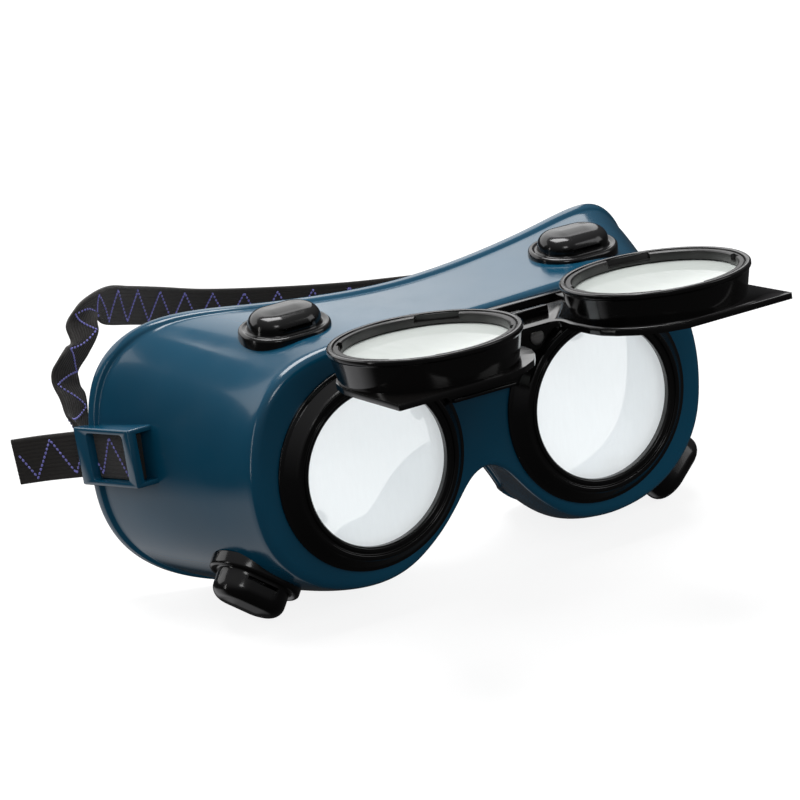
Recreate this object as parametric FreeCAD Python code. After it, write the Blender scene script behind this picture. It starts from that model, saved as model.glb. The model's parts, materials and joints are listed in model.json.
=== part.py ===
import FreeCAD, Part
import math, os
from FreeCAD import Vector as V

# Flip-up welding goggles, standing on a table.
# Modelled first in the "worn frame": origin midway between the two lens
# centres in the plane of the fixed lens apertures, X to the viewer's right,
# +Y toward the wearer, +Z up in the lens plane.  At the end everything is
# leaned back onto its resting points (the two flat feet of the lower vent
# caps and the lower rear edge of the body) and set down with them on z = 0.

# ---------------------------------------------------------------- dimensions
LEAN = 6.5            # degrees the lens plane leans back when standing 
LENS_PITCH = 78.0      # spacing of the lens centres
LX = LENS_PITCH / 2
LENS_D = 50.0          # standard round welding lens
WALL = 3.0             # PVC wall
Y_FACE = 4.0           # front face plane of the PVC body
FACE_T = 3.0           # thickness of the front wall
APERTURE_R = 23.1      # clear opening of the fixed lens holders
HOLDER_R = 31.0        # foot of the holder cone
BARREL_R = 28.0        # holder barrel through the body front wall
POCKET_R = 25.15       # pocket of a 50 mm lens
CLEAR_T = 2.0
FILTER_T = 3.0
HINGE_Y, HINGE_Z = -3.35, 32.0
HINGE_HALF = 30.0      # half length of the hinge bracket
LUG_T = 3.0            # bracket lug thickness
PIN_R = 1.25
KNUCKLE_R = 3.0
FLIP_OPEN = 92.4       # degrees from closed to the raised position modelled
CUP_RIM_R = 27.6
CUP_BASE_R = 25.5
CUP_RIM_Y = -16.0      # rim plane when closed
PLATE_Y0, PLATE_Y1 = -6.4, -4.6
VENT_TOP = (50.0, 25.0)
VENT_BOT = (71.0, 23.5)
STRAP_W = 14.0
STRAP_T = 1.3
STRAP_Z = 6.0
LUG_Z, LUG_H = 7.3, 17.4
LUG_Y0, LUG_Y1 = 41.7, 69.2
LUG_TILT = 6.5         # degrees the lug falls toward the rear

OX, OY, OZ = V(1, 0, 0), V(0, 1, 0), V(0, 0, 1)
SIDES = (("left", -1), ("right", 1))

# ------------------------------------------------------------ body sections
# half outlines (x, z) from the top centre round to the nose notch
SEC = [
    (4.0, [(0, 37.0), (25, 37.5), (45, 37.3), (57.5, 35.2), (66, 31), (71.5, 25), (75.2, 16), (76.9, 5),
           (76.6, -4), (74.6, -14), (70, -22.5), (63.5, -28.8), (54, -33.4), (43, -35.3), (33, -34.4),
           (23, -30), (15, -23.8), (9, -17.2), (4.5, -12.4), (0, -10.6)]),
    (28.0, [(0, 38.3), (26, 39.3), (48, 40.5), (61.5, 39.6), (71, 35.6), (77.8, 28.4), (82.2, 17.8), (84.4, 5.2),
            (84.3, -5), (82.2, -15.8), (77.4, -25.1), (70, -32.0), (60, -37.0), (48.6, -39.4), (38.4, -39.6),
            (29, -37.2), (22.4, -30.8), (16.6, -22.0), (9.6, -13.4), (0, -9.8)]),
    (56.0, [(0, 39.2), (28, 40.8), (50, 43.0), (66.0, 44.2), (78.0, 41.9), (86.2, 34.6), (91.2, 22.6), (92.9, 7.4),
            (92.9, -5.6), (90.6, -17.4), (85.6, -26.6), (78, -32.8), (68, -36.2), (57, -37.7), (46, -37.7),
            (36.4, -35.8), (28.6, -30.4), (21.8, -22.0), (12.8, -13.4), (0, -9.4)]),
    (92.0, [(0, 39.6), (29, 41.6), (51.5, 44.0), (67.5, 45.4), (79, 43.0), (87.8, 36.2), (93.8, 24), (96.8, 8.0),
            (96.8, -6), (94.6, -18.2), (89.6, -27.4), (81.8, -33.6), (71, -36.8), (59, -37.6), (48.5, -37.5),
            (38.4, -35.8), (30.4, -30.4), (23.4, -22), (14, -13.4), (0, -9.2)]),
]


def full(half):
    left = [(-x, z) for x, z in half[1:-1]][::-1]
    return list(half) + left


def inset(pts, d):
    n = len(pts)
    out = []
    for i in range(n):
        ax, az = pts[i - 1]
        bx, bz = pts[(i + 1) % n]
        tx, tz = bx - ax, bz - az
        l = math.hypot(tx, tz)
        # outline runs clockwise, so the inward normal is on the right
        out.append((pts[i][0] + tz / l * d, pts[i][1] - tx / l * d))
    return out


BREAKS = [0, 3, 6, 9, 12, 15, 18, 20, 23, 26, 29, 32, 35]      # outline points where its edges meet


def ring_wire(pts, y):
    """smooth closed outline in a plane of constant y, as a wire of spline edges."""
    n = len(pts)
    t = [0.0]
    for i in range(n):
        a, b = pts[i], pts[(i + 1) % n]
        t.append(t[-1] + math.hypot(a[0] - b[0], a[1] - b[1]))
    c = Part.BSplineCurve()
    c.interpolate(Points=[V(x, y, z) for x, z in pts], Parameters=t, PeriodicFlag=True)
    ends = BREAKS[1:] + [n]
    return Part.Wire([c.toShape(t[i], t[j]) for i, j in zip(BREAKS, ends)])


def lofted(d, y_first, y_last=92.0):
    wires = []
    for y, half in SEC:
        yy = y_first if y == SEC[0][0] else (y_last if y == SEC[-1][0] else y)
        wires.append(ring_wire(inset(full(half), d), yy))
    s = Part.makeLoft(wires, True, False, False)
    return s


def revolve_y(profile, cx, cz=0.0):
    """profile: (radius, y) pairs, turned about the Y axis through (cx, cz)."""
    w = Part.makePolygon([V(cx + r, y, cz) for r, y in profile + [profile[0]]])
    return Part.Face(w).revolve(V(cx, 0, cz), OY, 360)


def ycyl(r, y0, y1, x, z):
    return Part.makeCylinder(r, y1 - y0, V(x, y0, z), OY)


def xcyl(r, x0, x1, y, z):
    return Part.makeCylinder(r, x1 - x0, V(x0, y, z), OX)


def prism_y(pts, y0, y1):
    w = Part.makePolygon([V(x, y0, z) for x, z in pts + [pts[0]]])
    return Part.Face(w).extrude(V(0, y1 - y0, 0))


def box(x0, x1, y0, y1, z0, z1):
    return Part.makeBox(x1 - x0, y1 - y0, z1 - z0, V(x0, y0, z0))


def one(shape):
    s = shape.removeSplitter()
    sol = s.Solids
    if len(sol) > 1:
        sol = sorted(sol, key=lambda q: -q.Volume)
    return sol[0]


def rear_tool(shift=0.0):
    """everything behind the face line, as seen from above."""
    pts = [(-130, 82), (-102, 72), (-93, 67), (-84, 61.4), (-72, 55.6), (-58, 51), (-40, 47.6), (-20, 45.8), (0, 45.4)]
    pts = pts + [(-x, y) for x, y in pts[:-1]][::-1]
    c = Part.BSplineCurve()
    c.interpolate([V(x, y + shift, -80) for x, y in pts])
    e = c.toShape()
    a, b = V(130, 82 + shift, -80), V(-130, 82 + shift, -80)
    w = Part.Wire([e, Part.makeLine(a, V(130, 190, -80)), Part.makeLine(V(130, 190, -80), V(-130, 190, -80)),
                   Part.makeLine(V(-130, 190, -80), b)])
    return Part.Face(w).extrude(V(0, 0, 160))


# -------------------------------------------------------------- body shell
outer = lofted(0.0, Y_FACE)
# eased front edge: everything outside this ruled cone ring is taken off
ease = Part.makeLoft([ring_wire(inset(full(SEC[0][1]), d), y) for d, y in
                      ((2.1, 3.8), (1.75, 4.0), (0.62, 4.75), (-0.25, 6.3), (-0.6, 6.9))], True, True, False)
outer_f = outer.cut(box(-120, 120, 3.0, 6.6, -60, 60).cut(ease))
inner = lofted(WALL, Y_FACE + FACE_T, 93.0)
tool = rear_tool()
nose = Part.makeCone(33, 7, 66, V(0, 50, -48), OZ)
# bead along the face edge
bead = lofted(-0.9, Y_FACE).cut(tool).common(rear_tool(-4.5))
body = outer_f.cut(tool).fuse(bead).cut(nose).cut(inner)

# strap lugs: a tunnel box on each side wall, open fore and aft, with a window
def lug_shape(s):
    xw0, xw1 = 80.0, 84.0           # start inside the wall, trimmed below
    xo0, xo1 = 95.6, 99.6           # outer face, front and rear end
    z0, z1 = LUG_Z - LUG_H / 2, LUG_Z + LUG_H / 2
    def quad(a0, a1, b0, b1, y0, y1, za, zb):
        w = Part.makePolygon([V(s * a0, y0, za), V(s * b0, y0, za), V(s * b1, y1, za), V(s * a1, y1, za), V(s * a0, y0, za)])
        return Part.Face(w).extrude(V(0, 0, zb - za))
    block = quad(xw0, xw1, xo0, xo1, LUG_Y0, LUG_Y1, z0, z1)
    tun = quad(78, 82, xo0 - 2.3, xo1 - 2.3, LUG_Y0 - 1, LUG_Y1 + 1, z0 + 1.4, z1 - 1.4)
    win = quad(78, 78, 112, 112, LUG_Y0 + 3.6, LUG_Y1 - 6.0, z0 + 1.4, z1 - 1.4)
    sh = block.cut(tun).cut(win)
    # channel for two layers of webbing, sunk a little into the wall and its bead
    chan = quad(xo0 - 5.2, xo1 - 5.2, xo0 - 2.3, xo1 - 2.3, LUG_Y0 - 1, LUG_Y1 + 1, z0 + 1.4, z1 - 1.4)
    for b in (sh, chan):
        b.rotate(V(0, (LUG_Y0 + LUG_Y1) / 2, LUG_Z), OX, -LUG_TILT)
    return sh, chan


for nm, s in SIDES:
    lug, chan = lug_shape(s)
    body = body.fuse(lug.cut(inner)).cut(chan)

# lens holes in the front wall
for nm, s in SIDES:
    body = body.cut(ycyl(BARREL_R, 0, 9.5, s * LX, 0))

# ------------------------------------------------------------------- vents
def surf_z(x, y, top):
    """height of the outer surface under a vertical line."""
    ln = Part.makeLine(V(x, y, 0 if top else -70), V(x, y, 70 if top else -15))
    vs = [v.Point.z for v in outer.common(ln).Vertexes]
    return max(vs) if top else min(vs)


def vent_frame(s, top):
    x, y = (VENT_TOP if top else VENT_BOT)
    x = s * x
    h = 2.0
    z = surf_z(x, y, top)
    zx = (surf_z(x + h, y, top) - surf_z(x - h, y, top)) / (2 * h)
    zy = (surf_z(x, y + h, top) - surf_z(x, y - h, top)) / (2 * h)
    n = V(-zx, -zy, 1)
    n.normalize()
    if not top:
        n = n * -1
    # local frame: u along the length of the cap, w outward
    u = OX - n * OX.dot(n)
    u.normalize()
    v = n.cross(u)
    m = FreeCAD.Matrix(u.x, v.x, n.x, x, u.y, v.y, n.y, y, u.z, v.z, n.z, z, 0, 0, 0, 1)
    return m


def stadium(lx, ly, z0, z1):
    r = ly / 2.0
    a = lx / 2.0 - r
    w = Part.Wire([Part.makeLine(V(-a, -r, z0), V(a, -r, z0)),
                   Part.Arc(V(a, -r, z0), V(a + r, 0, z0), V(a, r, z0)).toShape(),
                   Part.makeLine(V(a, r, z0), V(-a, r, z0)),
                   Part.Arc(V(-a, r, z0), V(-a - r, 0, z0), V(-a, -r, z0)).toShape()])
    return Part.Face(w).extrude(V(0, 0, z1 - z0))


def top_edges(s, z):
    return [e for e in s.Edges if abs(e.BoundBox.ZMin - z) < 1e-3 and abs(e.BoundBox.ZMax - z) < 1e-3]


CAP_H = 7.0           # upper caps
CAP_H_LOW = 10.0      # lower caps, which carry the feet


def vent_cap_local(h):
    dome = stadium(24.0, 17.0, -3.0, h)
    dome = dome.makeFillet(4.2, top_edges(dome, h))
    flange = stadium(28.0, 21.0, -3.0, 1.5)
    flange = flange.makeFillet(0.6, top_edges(flange, 1.5))
    cav = stadium(20.6, 13.8, -5.0, h - 3.4)
    cav = cav.makeFillet(2.6, top_edges(cav, h - 3.4))
    cap = dome.fuse(flange).cut(cav)
    # two side slots let the air out under the dome
    for t in (-1, 1):
        cap = cap.cut(box(-5, 5, min(t * 5, t * 14), max(t * 5, t * 14), 1.9, 3.1))
    return cap


parts = {}
for nm, s in SIDES:
    for lvl, top in (("top", True), ("bottom", False)):
        m = vent_frame(s, top)
        cap = vent_cap_local(CAP_H if top else CAP_H_LOW)
        cap.Placement = FreeCAD.Placement(m)
        cap = cap.cut(outer)
        cap = sorted(cap.Solids, key=lambda q: -q.Volume)[0]
        hole = Part.makeCylinder(6.5, 14, V(0, 0, -8), OZ)
        hole.Placement = FreeCAD.Placement(m)
        body = body.cut(hole)
        tube = Part.makeCylinder(6.5, 6.4, V(0, 0, -4.9), OZ).cut(Part.makeCylinder(4.8, 12, V(0, 0, -8), OZ))
        # light baffle across the tube
        tube = tube.fuse(box(-5.2, 5.2, -0.8, 0.8, -1.6, 0.6)).fuse(box(-0.8, 0.8, -5.2, 5.2, -1.6, 0.6))
        fl = Part.makeCylinder(10.0, 3.5, V(0, 0, -4.9), OZ).cut(Part.makeCylinder(6.0, 12, V(0, 0, -8), OZ))
        tube.Placement = FreeCAD.Placement(m)
        fl.Placement = FreeCAD.Placement(m)
        fl = fl.common(inner)
        base = tube.fuse(fl)
        base = sorted(base.removeSplitter().Solids, key=lambda q: -q.Volume)[0]
        parts["vent_cap_%s_%s" % (lvl, nm)] = cap
        parts["vent_base_%s_%s" % (lvl, nm)] = base

parts["body_shell"] = one(body)

# ------------------------------------------------------- fixed front frame
holder_profile = [(BARREL_R, 11.0), (BARREL_R, Y_FACE), (HOLDER_R, Y_FACE), (HOLDER_R, 3.2), (29.8, 2.8),
                  (27.4, 0.3), (27.0, -0.3), (26.6, -0.5), (25.7, -0.5), (25.4, 0.1), (24.8, 0.1), (24.5, -0.4),
                  (23.6, -0.4), (APERTURE_R, 0.1), (APERTURE_R, 1.6), (POCKET_R, 1.6), (POCKET_R, 11.0)]
plate_pts = [(-29.5, 34.4), (29.5, 34.4), (29.5, 27.5), (19.6, 20.4), (13, 14), (11.5, 12), (-11.5, 12), (-13, 14),
             (-19.6, 20.4), (-29.5, 27.5)]
frame_ = prism_y(plate_pts, 1.8, Y_FACE)
frame_ = frame_.fuse(box(-12.4, 12.4, 0.9, 1.8, 15.4, 16.8)).fuse(box(-10.9, 10.9, 0.9, 1.8, 12.0, 13.2))
for nm, s in SIDES:
    frame_ = frame_.fuse(revolve_y(holder_profile, s * LX))
for nm, s in SIDES:
    # nothing of the plate inside the lens pocket
    frame_ = frame_.cut(ycyl(POCKET_R, 1.6, 12, s * LX, 0)).cut(ycyl(APERTURE_R, -2, 3, s * LX, 0))
    frame_ = frame_.cut(ycyl(1.2, 0, 3.2, s * 19.0, 24.8))
parts["front_frame"] = one(frame_)

# clear lenses, gaskets and bayonet rings behind them
TABS = {"left": 32.0, "right": 100.0}
for nm, s in SIDES:
    x = s * LX
    parts["lens_gasket_" + nm] = revolve_y([(23.3, 1.6), (25.1, 1.6), (25.1, 2.1), (23.3, 2.1)], x)
    parts["clear_lens_" + nm] = ycyl(LENS_D / 2, 2.1, 2.1 + CLEAR_T, x, 0)
    ring = revolve_y([(23.4, 4.5), (25.07, 4.5), (25.07, 9.6), (23.4, 9.6)], x)
    for k in (0, 180):
        a = math.radians(TABS[nm] + k)
        tab = box(19.6, 24.2, 4.5, 5.9, -2.2, 2.2)
        tab = tab.makeFillet(1.2, [e for e in tab.Edges if abs(e.BoundBox.XMax - 19.6) < 1e-6 and e.BoundBox.YLength > 1.0])
        tab.rotate(V(0, 0, 0), OY, -(TABS[nm] + k))
        tab.translate(V(x, 0, 0))
        ring = ring.fuse(tab)
    # finger grips on the rear face
    for k in range(4):
        a = math.radians(TABS[nm] + 45 + 90 * k)
        g = ycyl(1.6, 8.2, 10.5, x + 24.6 * math.cos(a), 24.6 * math.sin(a))
        ring = ring.cut(g)
    parts["lens_ring_" + nm] = one(ring)

# ------------------------------------------------------------ hinge bracket
br_pts = [(-30, 36.4), (30, 36.4), (30, 31.2), (26.0, 28.4), (20.6, 21.6), (18.5, 20.8), (-18.5, 20.8), (-20.6, 21.6),
          (-26.0, 28.4), (-30, 31.2)]
br = prism_y(br_pts, 0.6, 1.8)
br = br.fuse(box(-30, 30, 0.6, 3.9, 34.9, 36.4))
for nm, s in SIDES:
    x0, x1 = sorted((s * (HINGE_HALF - LUG_T), s * HINGE_HALF))
    lug = box(x0, x1, HINGE_Y, 1.2, HINGE_Z - 3.4, 36.4)
    lug = lug.cut(box(x0 - 1, x1 + 1, HINGE_Y - 1, HINGE_Y + 4.0, HINGE_Z + 3.9, 40))
    lug = lug.fuse(xcyl(3.9, x0, x1, HINGE_Y, HINGE_Z))
    br = br.fuse(lug)
for nm, s in SIDES:
    x0, x1 = sorted((s * (HINGE_HALF - LUG_T), s * HINGE_HALF))
    br = br.cut(xcyl(PIN_R, x0 - 1, x1 + 1, HINGE_Y, HINGE_Z))
    br = br.cut(ycyl(1.2, 0, 3, s * 19.0, 24.8))
parts["hinge_bracket"] = one(br)

for nm, s in SIDES:
    r = ycyl(1.2, 0.6, 3.2, s * 19.0, 24.8)
    head = ycyl(2.3, -0.5, 0.6, s * 19.0, 24.8)
    head = head.makeFillet(0.7, [e for e in head.Edges if abs(e.BoundBox.YMax + 0.5) < 1e-3])
    parts["bracket_rivet_" + nm] = one(r.fuse(head))

pin = xcyl(PIN_R, -30.9, 30.9, HINGE_Y, HINGE_Z)
for s in (-1, 1):
    x0, x1 = sorted((s * 30.0, s * 30.9))
    pin = pin.fuse(xcyl(2.1, x0, x1, HINGE_Y, HINGE_Z))
parts["hinge_pin"] = one(pin)
spring = box(-14, 14, 0.1, 0.6, 28.6, 34.2)
parts["hinge_spring"] = spring

# --------------------------------------------------------------- flip frame
def cup_outer(x):
    return revolve_y([(0.0, PLATE_Y1), (CUP_BASE_R - 0.2, PLATE_Y1), (CUP_BASE_R, PLATE_Y0), (27.0, -14.0),
                      (CUP_RIM_R, -14.6), (CUP_RIM_R, -15.6), (27.2, CUP_RIM_Y), (0.0, CUP_RIM_Y)], x)


flip = None
half = [(12.0, 12.0), (11.0, 4), (11.0, -6), (11.6, -10.5), (13.6, -15.4), (17.8, -21.4), (23.6, -25.6), (30, -28.0),
        (66.0, -28.0), (65.6, -14), (65.3, -4), (64.9, 4), (63.0, 11), (58, 18.4), (52, 23), (44, 26), (36, 27.4),
        (26.1, 27.4), (26.1, 31.0)]
outline = half + [(-x, z) for x, z in half[::-1]]
# the plate stops under the knuckle; the notch between the cups is open below
plate = prism_y(outline, PLATE_Y0, PLATE_Y1)
flip = plate
flip = flip.fuse(xcyl(KNUCKLE_R, -26.6, 26.6, HINGE_Y, HINGE_Z))
flip = flip.fuse(box(-26.1, 26.1, PLATE_Y0, PLATE_Y1, 27.0, 31.5))
# raised stiffening bar between the cups
flip = flip.fuse(box(-15, 15, -9.0, PLATE_Y0 + 0.01, 21.0, 23.2))
for nm, s in SIDES:
    flip = flip.fuse(cup_outer(s * LX))
for nm, s in SIDES:
    x = s * LX
    bore = revolve_y([(0.0, -2.0), (23.0, -2.0), (23.0, -9.1), (POCKET_R, -9.1), (POCKET_R, -12.7), (25.95, -12.7),
                      (25.95, -15.6), (26.2, -17.0), (0.0, -17.0)], x)
    flip = flip.cut(bore)
flip = flip.cut(xcyl(PIN_R + 0.06, -40, 40, HINGE_Y, HINGE_Z))
flip_parts = {"flip_frame": one(flip)}

NOTCH = {"left": 50.0, "right": 75.0}
for nm, s in SIDES:
    x = s * LX
    flip_parts["filter_washer_" + nm] = revolve_y([(23.2, -9.6), (25.0, -9.6), (25.0, -9.1), (23.2, -9.1)], x)
    flip_parts["filter_lens_" + nm] = ycyl(LENS_D / 2, -12.6, -9.6, x, 0)
    ring = revolve_y([(23.9, -13.0), (25.87, -13.0), (25.87, -15.5), (25.5, -15.7), (24.3, -15.7), (23.9, -15.4)], x)
    for k, w in ((0, 13.0), (180, 13.0), (90, 4.0), (270, 4.0)):
        g = box(22.0, 24.9, -17, -14.0, -w / 2, w / 2)
        g.rotate(V(0, 0, 0), OY, -(NOTCH[nm] + k))
        g.translate(V(x, 0, 0))
        ring = ring.cut(g)
    flip_parts["filter_ring_" + nm] = one(ring)
# raise the flip frame about the hinge axis
for k, sh in flip_parts.items():
    sh.rotate(V(0, HINGE_Y, HINGE_Z), OX, FLIP_OPEN * -1)
    parts[k] = sh

# --------------------------------------------------------------------- strap
# Elastic webbing: through the left lug, slack and half turned where it hangs,
# round behind the head and forward into the right lug.
# Each station: centre of the webbing, direction of its width.
ROUTE = [
    ((-91.66, 43.5, 8.65), (0, 0, 1)), ((-92.81, 52.0, 7.7), (0, 0, 1)), ((-93.90, 60.0, 6.8), (0, 0, 1)),
    ((-95.12, 69.0, 5.8), (0, 0, 1)), ((-95.3, 72.8, 6.0), (-0.04, -0.08, 1)),
    ((-94.6, 76.6, 8.6), (-0.32, -0.32, 0.88)), ((-93.2, 79.6, 12.6), (-0.66, -0.48, 0.55)),
    ((-92.1,  82.5,  19.7), (-0.83, -0.51,  0.22)),
    ((-92.6,  84.5,  23.4), (-0.82, -0.41,  0.39)),
    ((-92.1,  85.0,  26.1), (-0.77, -0.45,  0.45)),
    ((-90.9,  85.5,  27.8), (-0.66, -0.54,  0.53)),
    ((-86.0,  87.7,  31.3), (-0.75, -0.53,  0.39)),
    ((-81.8,  90.0,  34.3), (-0.88, -0.46,  0.08)),
    ((-81.5,  91.5,  37.6), (-0.91, -0.37,  0.18)),
    ((-78.1,  94.3,  40.4), (-0.76, -0.54,  0.36)),
    ((-72.7,  99.1,  39.1), (-0.39, -0.50,  0.78)),
    ((-64.8, 106.0,  36.9), (-0.04, -0.34,  0.94)),
    ((-53.5, 114.0,  32.9), (-0.04, -0.33,  0.94)),
    ((-39.4, 122.0,  28.0), (-0.05, -0.35,  0.94)),
    ((-22.1, 129.0,  22.3), (-0.09, -0.39,  0.92)),
    ((4.0, 132.8, 15.5), (-0.04, -0.28, 0.96)), ((32.0, 130.8, 10.5), (-0.02, -0.18, 0.98)),
    ((58.0, 124.0, 8.0), (0, -0.1, 0.99)), ((78.0, 111.5, 6.8), (0, -0.05, 1)), ((90.0, 96.0, 6.1), (0, 0, 1)),
    ((95.2, 82.0, 5.5), (0, 0, 1)), ((95.6, 74.0, 5.5), (0, 0, 1)), ((95.12, 69.0, 5.8), (0, 0, 1)),
    ((93.90, 60.0, 6.8), (0, 0, 1)), ((92.81, 52.0, 7.7), (0, 0, 1)), ((91.66, 43.5, 8.65), (0, 0, 1))]


def run_through(t, pts, u):
    """smooth curve through pts at parameters t."""
    i = 0
    while i < len(t) - 2 and u > t[i + 1]:
        i += 1
    def slope(k):
        if k == 0:
            return (pts[1] - pts[0]) * (1 / (t[1] - t[0]))
        if k == len(t) - 1:
            return (pts[-1] - pts[-2]) * (1 / (t[-1] - t[-2]))
        a, b = t[k] - t[k - 1], t[k + 1] - t[k]
        return (pts[k] - pts[k - 1]) * (b / (a * (a + b))) + (pts[k + 1] - pts[k]) * (a / (b * (a + b)))
    h = t[i + 1] - t[i]
    s = (u - t[i]) / h
    return pts[i] * (1 + 2 * s) * (1 - s) ** 2 + slope(i) * (h * s * (1 - s) ** 2) + \
        pts[i + 1] * (s * s * (3 - 2 * s)) + slope(i + 1) * (h * s * s * (s - 1))


def strap_solid():
    ctr = [V(*p) for p, h in ROUTE]
    wid = [V(*h) for p, h in ROUTE]
    for h in wid:
        h.normalize()
    t = [0.0]
    for i in range(1, len(ctr)):
        t.append(t[-1] + (ctr[i] - ctr[i - 1]).Length)
    n = 72
    wires = []
    for i in range(n + 1):
        u = t[-1] * i / n
        p = run_through(t, ctr, u)
        d = run_through(t, ctr, min(u + 0.4, t[-1])) - run_through(t, ctr, max(u - 0.4, 0.0))
        e1 = run_through(t, wid, u)
        e1.normalize()
        e2 = d.cross(e1)
        e2.normalize()
        h, k = STRAP_W / 2, STRAP_T / 2
        q = [p + e1 * h + e2 * k, p + e1 * h - e2 * k, p - e1 * h - e2 * k, p - e1 * h + e2 * k]
        wires.append(Part.makePolygon(q + [q[0]]))
    return Part.makeLoft(wires, True, True, False)


parts["strap"] = strap_solid()

# ---------------------------------------------------- stand it on the table
def settle(sh):
    sh = sh.copy()
    sh.rotate(V(0, 0, 0), OX, -LEAN)
    return sh


parts = {k: settle(v) for k, v in parts.items()}
zfloor = parts["body_shell"].optimalBoundingBox(False).ZMin if hasattr(parts["body_shell"], "optimalBoundingBox") \
    else parts["body_shell"].BoundBox.ZMin
# flat feet on the two lower vent caps, level with the rear corners of the body
for nm, s in SIDES:
    k = "vent_cap_bottom_" + nm
    bb = parts[k].optimalBoundingBox(False)
    print(k, "z min before foot", round(bb.ZMin, 3), "floor", round(zfloor, 3))
    parts[k] = one(parts[k].cut(Part.makeBox(400, 400, 60, V(-200, -200, zfloor - 60))))
ylo = min(sh.optimalBoundingBox(False).YMin for sh in parts.values())
yhi = max(sh.optimalBoundingBox(False).YMax for sh in parts.values())
yshift = -round((ylo + yhi) / 2, 3)
for k in parts:
    parts[k].translate(V(0, yshift, -zfloor))

os.makedirs("parts", exist_ok=True)
tot = None
for k, sh in parts.items():
    if not sh.isValid():
        print("INVALID", k)
    sh.exportStep("parts/%s.step" % k)
    bb = sh.optimalBoundingBox(False)
    print("%-26s vol %9.1f solids %d faces %3d  x %.2f..%.2f y %.2f..%.2f z %.2f..%.2f" % (
        k, sh.Volume, len(sh.Solids), len(sh.Faces), bb.XMin, bb.XMax, bb.YMin, bb.YMax, bb.ZMin, bb.ZMax))
c, s_ = math.cos(math.radians(LEAN)), math.sin(math.radians(LEAN))
print("y shift", yshift)
print("table height in the leaned frame", zfloor)
print("hinge axis", 0.0, c * HINGE_Y + s_ * HINGE_Z + yshift, -s_ * HINGE_Y + c * HINGE_Z - zfloor)
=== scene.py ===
import bpy, bmesh, json, math, random
import numpy as np
from mathutils import Vector, Matrix
from mathutils.geometry import delaunay_2d_cdt


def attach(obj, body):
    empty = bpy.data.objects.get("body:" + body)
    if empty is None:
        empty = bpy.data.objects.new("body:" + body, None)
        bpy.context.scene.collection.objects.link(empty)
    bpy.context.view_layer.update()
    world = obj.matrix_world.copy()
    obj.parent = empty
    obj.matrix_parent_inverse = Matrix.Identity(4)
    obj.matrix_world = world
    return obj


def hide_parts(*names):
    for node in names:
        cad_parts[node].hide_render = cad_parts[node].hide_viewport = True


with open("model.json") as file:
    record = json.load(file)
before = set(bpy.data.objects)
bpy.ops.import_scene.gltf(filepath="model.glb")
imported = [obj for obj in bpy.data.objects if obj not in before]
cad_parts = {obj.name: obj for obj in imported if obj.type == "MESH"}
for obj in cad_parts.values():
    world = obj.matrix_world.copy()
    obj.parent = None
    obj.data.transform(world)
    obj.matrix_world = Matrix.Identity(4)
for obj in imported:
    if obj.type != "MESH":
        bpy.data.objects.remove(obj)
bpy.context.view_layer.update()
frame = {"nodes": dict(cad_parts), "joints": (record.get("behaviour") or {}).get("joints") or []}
random.seed(7)
rng = np.random.default_rng(11)

# ---------------------------------------------------------------- frames
# "worn" frame: origin midway between the lens centres, +Y toward the wearer,
# millimetres. It is read back from the joints, so it follows the CAD.
J = {j["name"]: j for j in frame["joints"]}
_a = J["lens_ring_left_turn"]["axis"]
_p = J["lens_ring_left_turn"]["pos_m"]
LX = abs(_p[0]) * 1000.0
C_, S_ = _a[1], -_a[2]
YS = _p[1] * 1000 - C_ * 7.0
ZF = _p[2] * 1000 + S_ * 7.0
WORN = Matrix(((.001, 0, 0, 0), (0, .001 * C_, .001 * S_, .001 * YS), (0, -.001 * S_, .001 * C_, .001 * ZF), (0, 0, 0, 1)))
HY, HZ = -3.35, 32.0
FLIP = WORN @ Matrix.Translation((0, HY, HZ)) @ Matrix.Rotation(math.radians(-92.4), 4, 'X') @ Matrix.Translation((0, -HY, -HZ))
SIDES = (("left", -1), ("right", 1))


# ------------------------------------------------------------ small tools
def new_obj(name, verts, faces, M=WORN, sharp=38):
    me = bpy.data.meshes.new(name)
    me.from_pydata([tuple(map(float, v)) for v in verts], [], [tuple(map(int, f)) for f in faces])
    me.update()
    ob = bpy.data.objects.new(name, me)
    bpy.context.scene.collection.objects.link(ob)
    bm = bmesh.new()
    bm.from_mesh(me)
    bmesh.ops.remove_doubles(bm, verts=bm.verts, dist=1e-5)
    bmesh.ops.recalc_face_normals(bm, faces=bm.faces)
    bm.to_mesh(me)
    bm.free()
    me.transform(M)
    me.shade_smooth()
    if sharp:
        me.set_sharp_from_angle(angle=math.radians(sharp))
    return ob


def apply_mods(ob):
    dg = bpy.context.evaluated_depsgraph_get()
    me = bpy.data.meshes.new_from_object(ob.evaluated_get(dg))
    old = ob.data
    ob.modifiers.clear()
    ob.data = me
    me.name = old.name
    bpy.data.meshes.remove(old)
    return ob


def boolean(a, b, op, keep=False):
    m = a.modifiers.new("b", 'BOOLEAN')
    m.operation = op
    m.object = b
    m.solver = 'EXACT'
    bpy.context.view_layer.update()
    apply_mods(a)
    if not keep:
        bpy.data.objects.remove(b)
    return a


def bevel(ob, width, seg=3, angle=32):
    m = ob.modifiers.new("v", 'BEVEL')
    m.width = width * 0.001
    m.segments = seg
    m.limit_method = 'ANGLE'
    m.angle_limit = math.radians(angle)
    m.miter_outer = 'MITER_ARC'
    m.harden_normals = False
    bpy.context.view_layer.update()
    return apply_mods(ob)


def tidy(ob, sharp=38):
    me = ob.data
    bm = bmesh.new()
    bm.from_mesh(me)
    bmesh.ops.remove_doubles(bm, verts=bm.verts, dist=2e-6)
    bmesh.ops.dissolve_degenerate(bm, edges=bm.edges, dist=2e-6)
    bmesh.ops.recalc_face_normals(bm, faces=bm.faces)
    bm.to_mesh(me)
    bm.free()
    me.shade_smooth()
    me.set_sharp_from_angle(angle=math.radians(sharp))
    return ob


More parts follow.
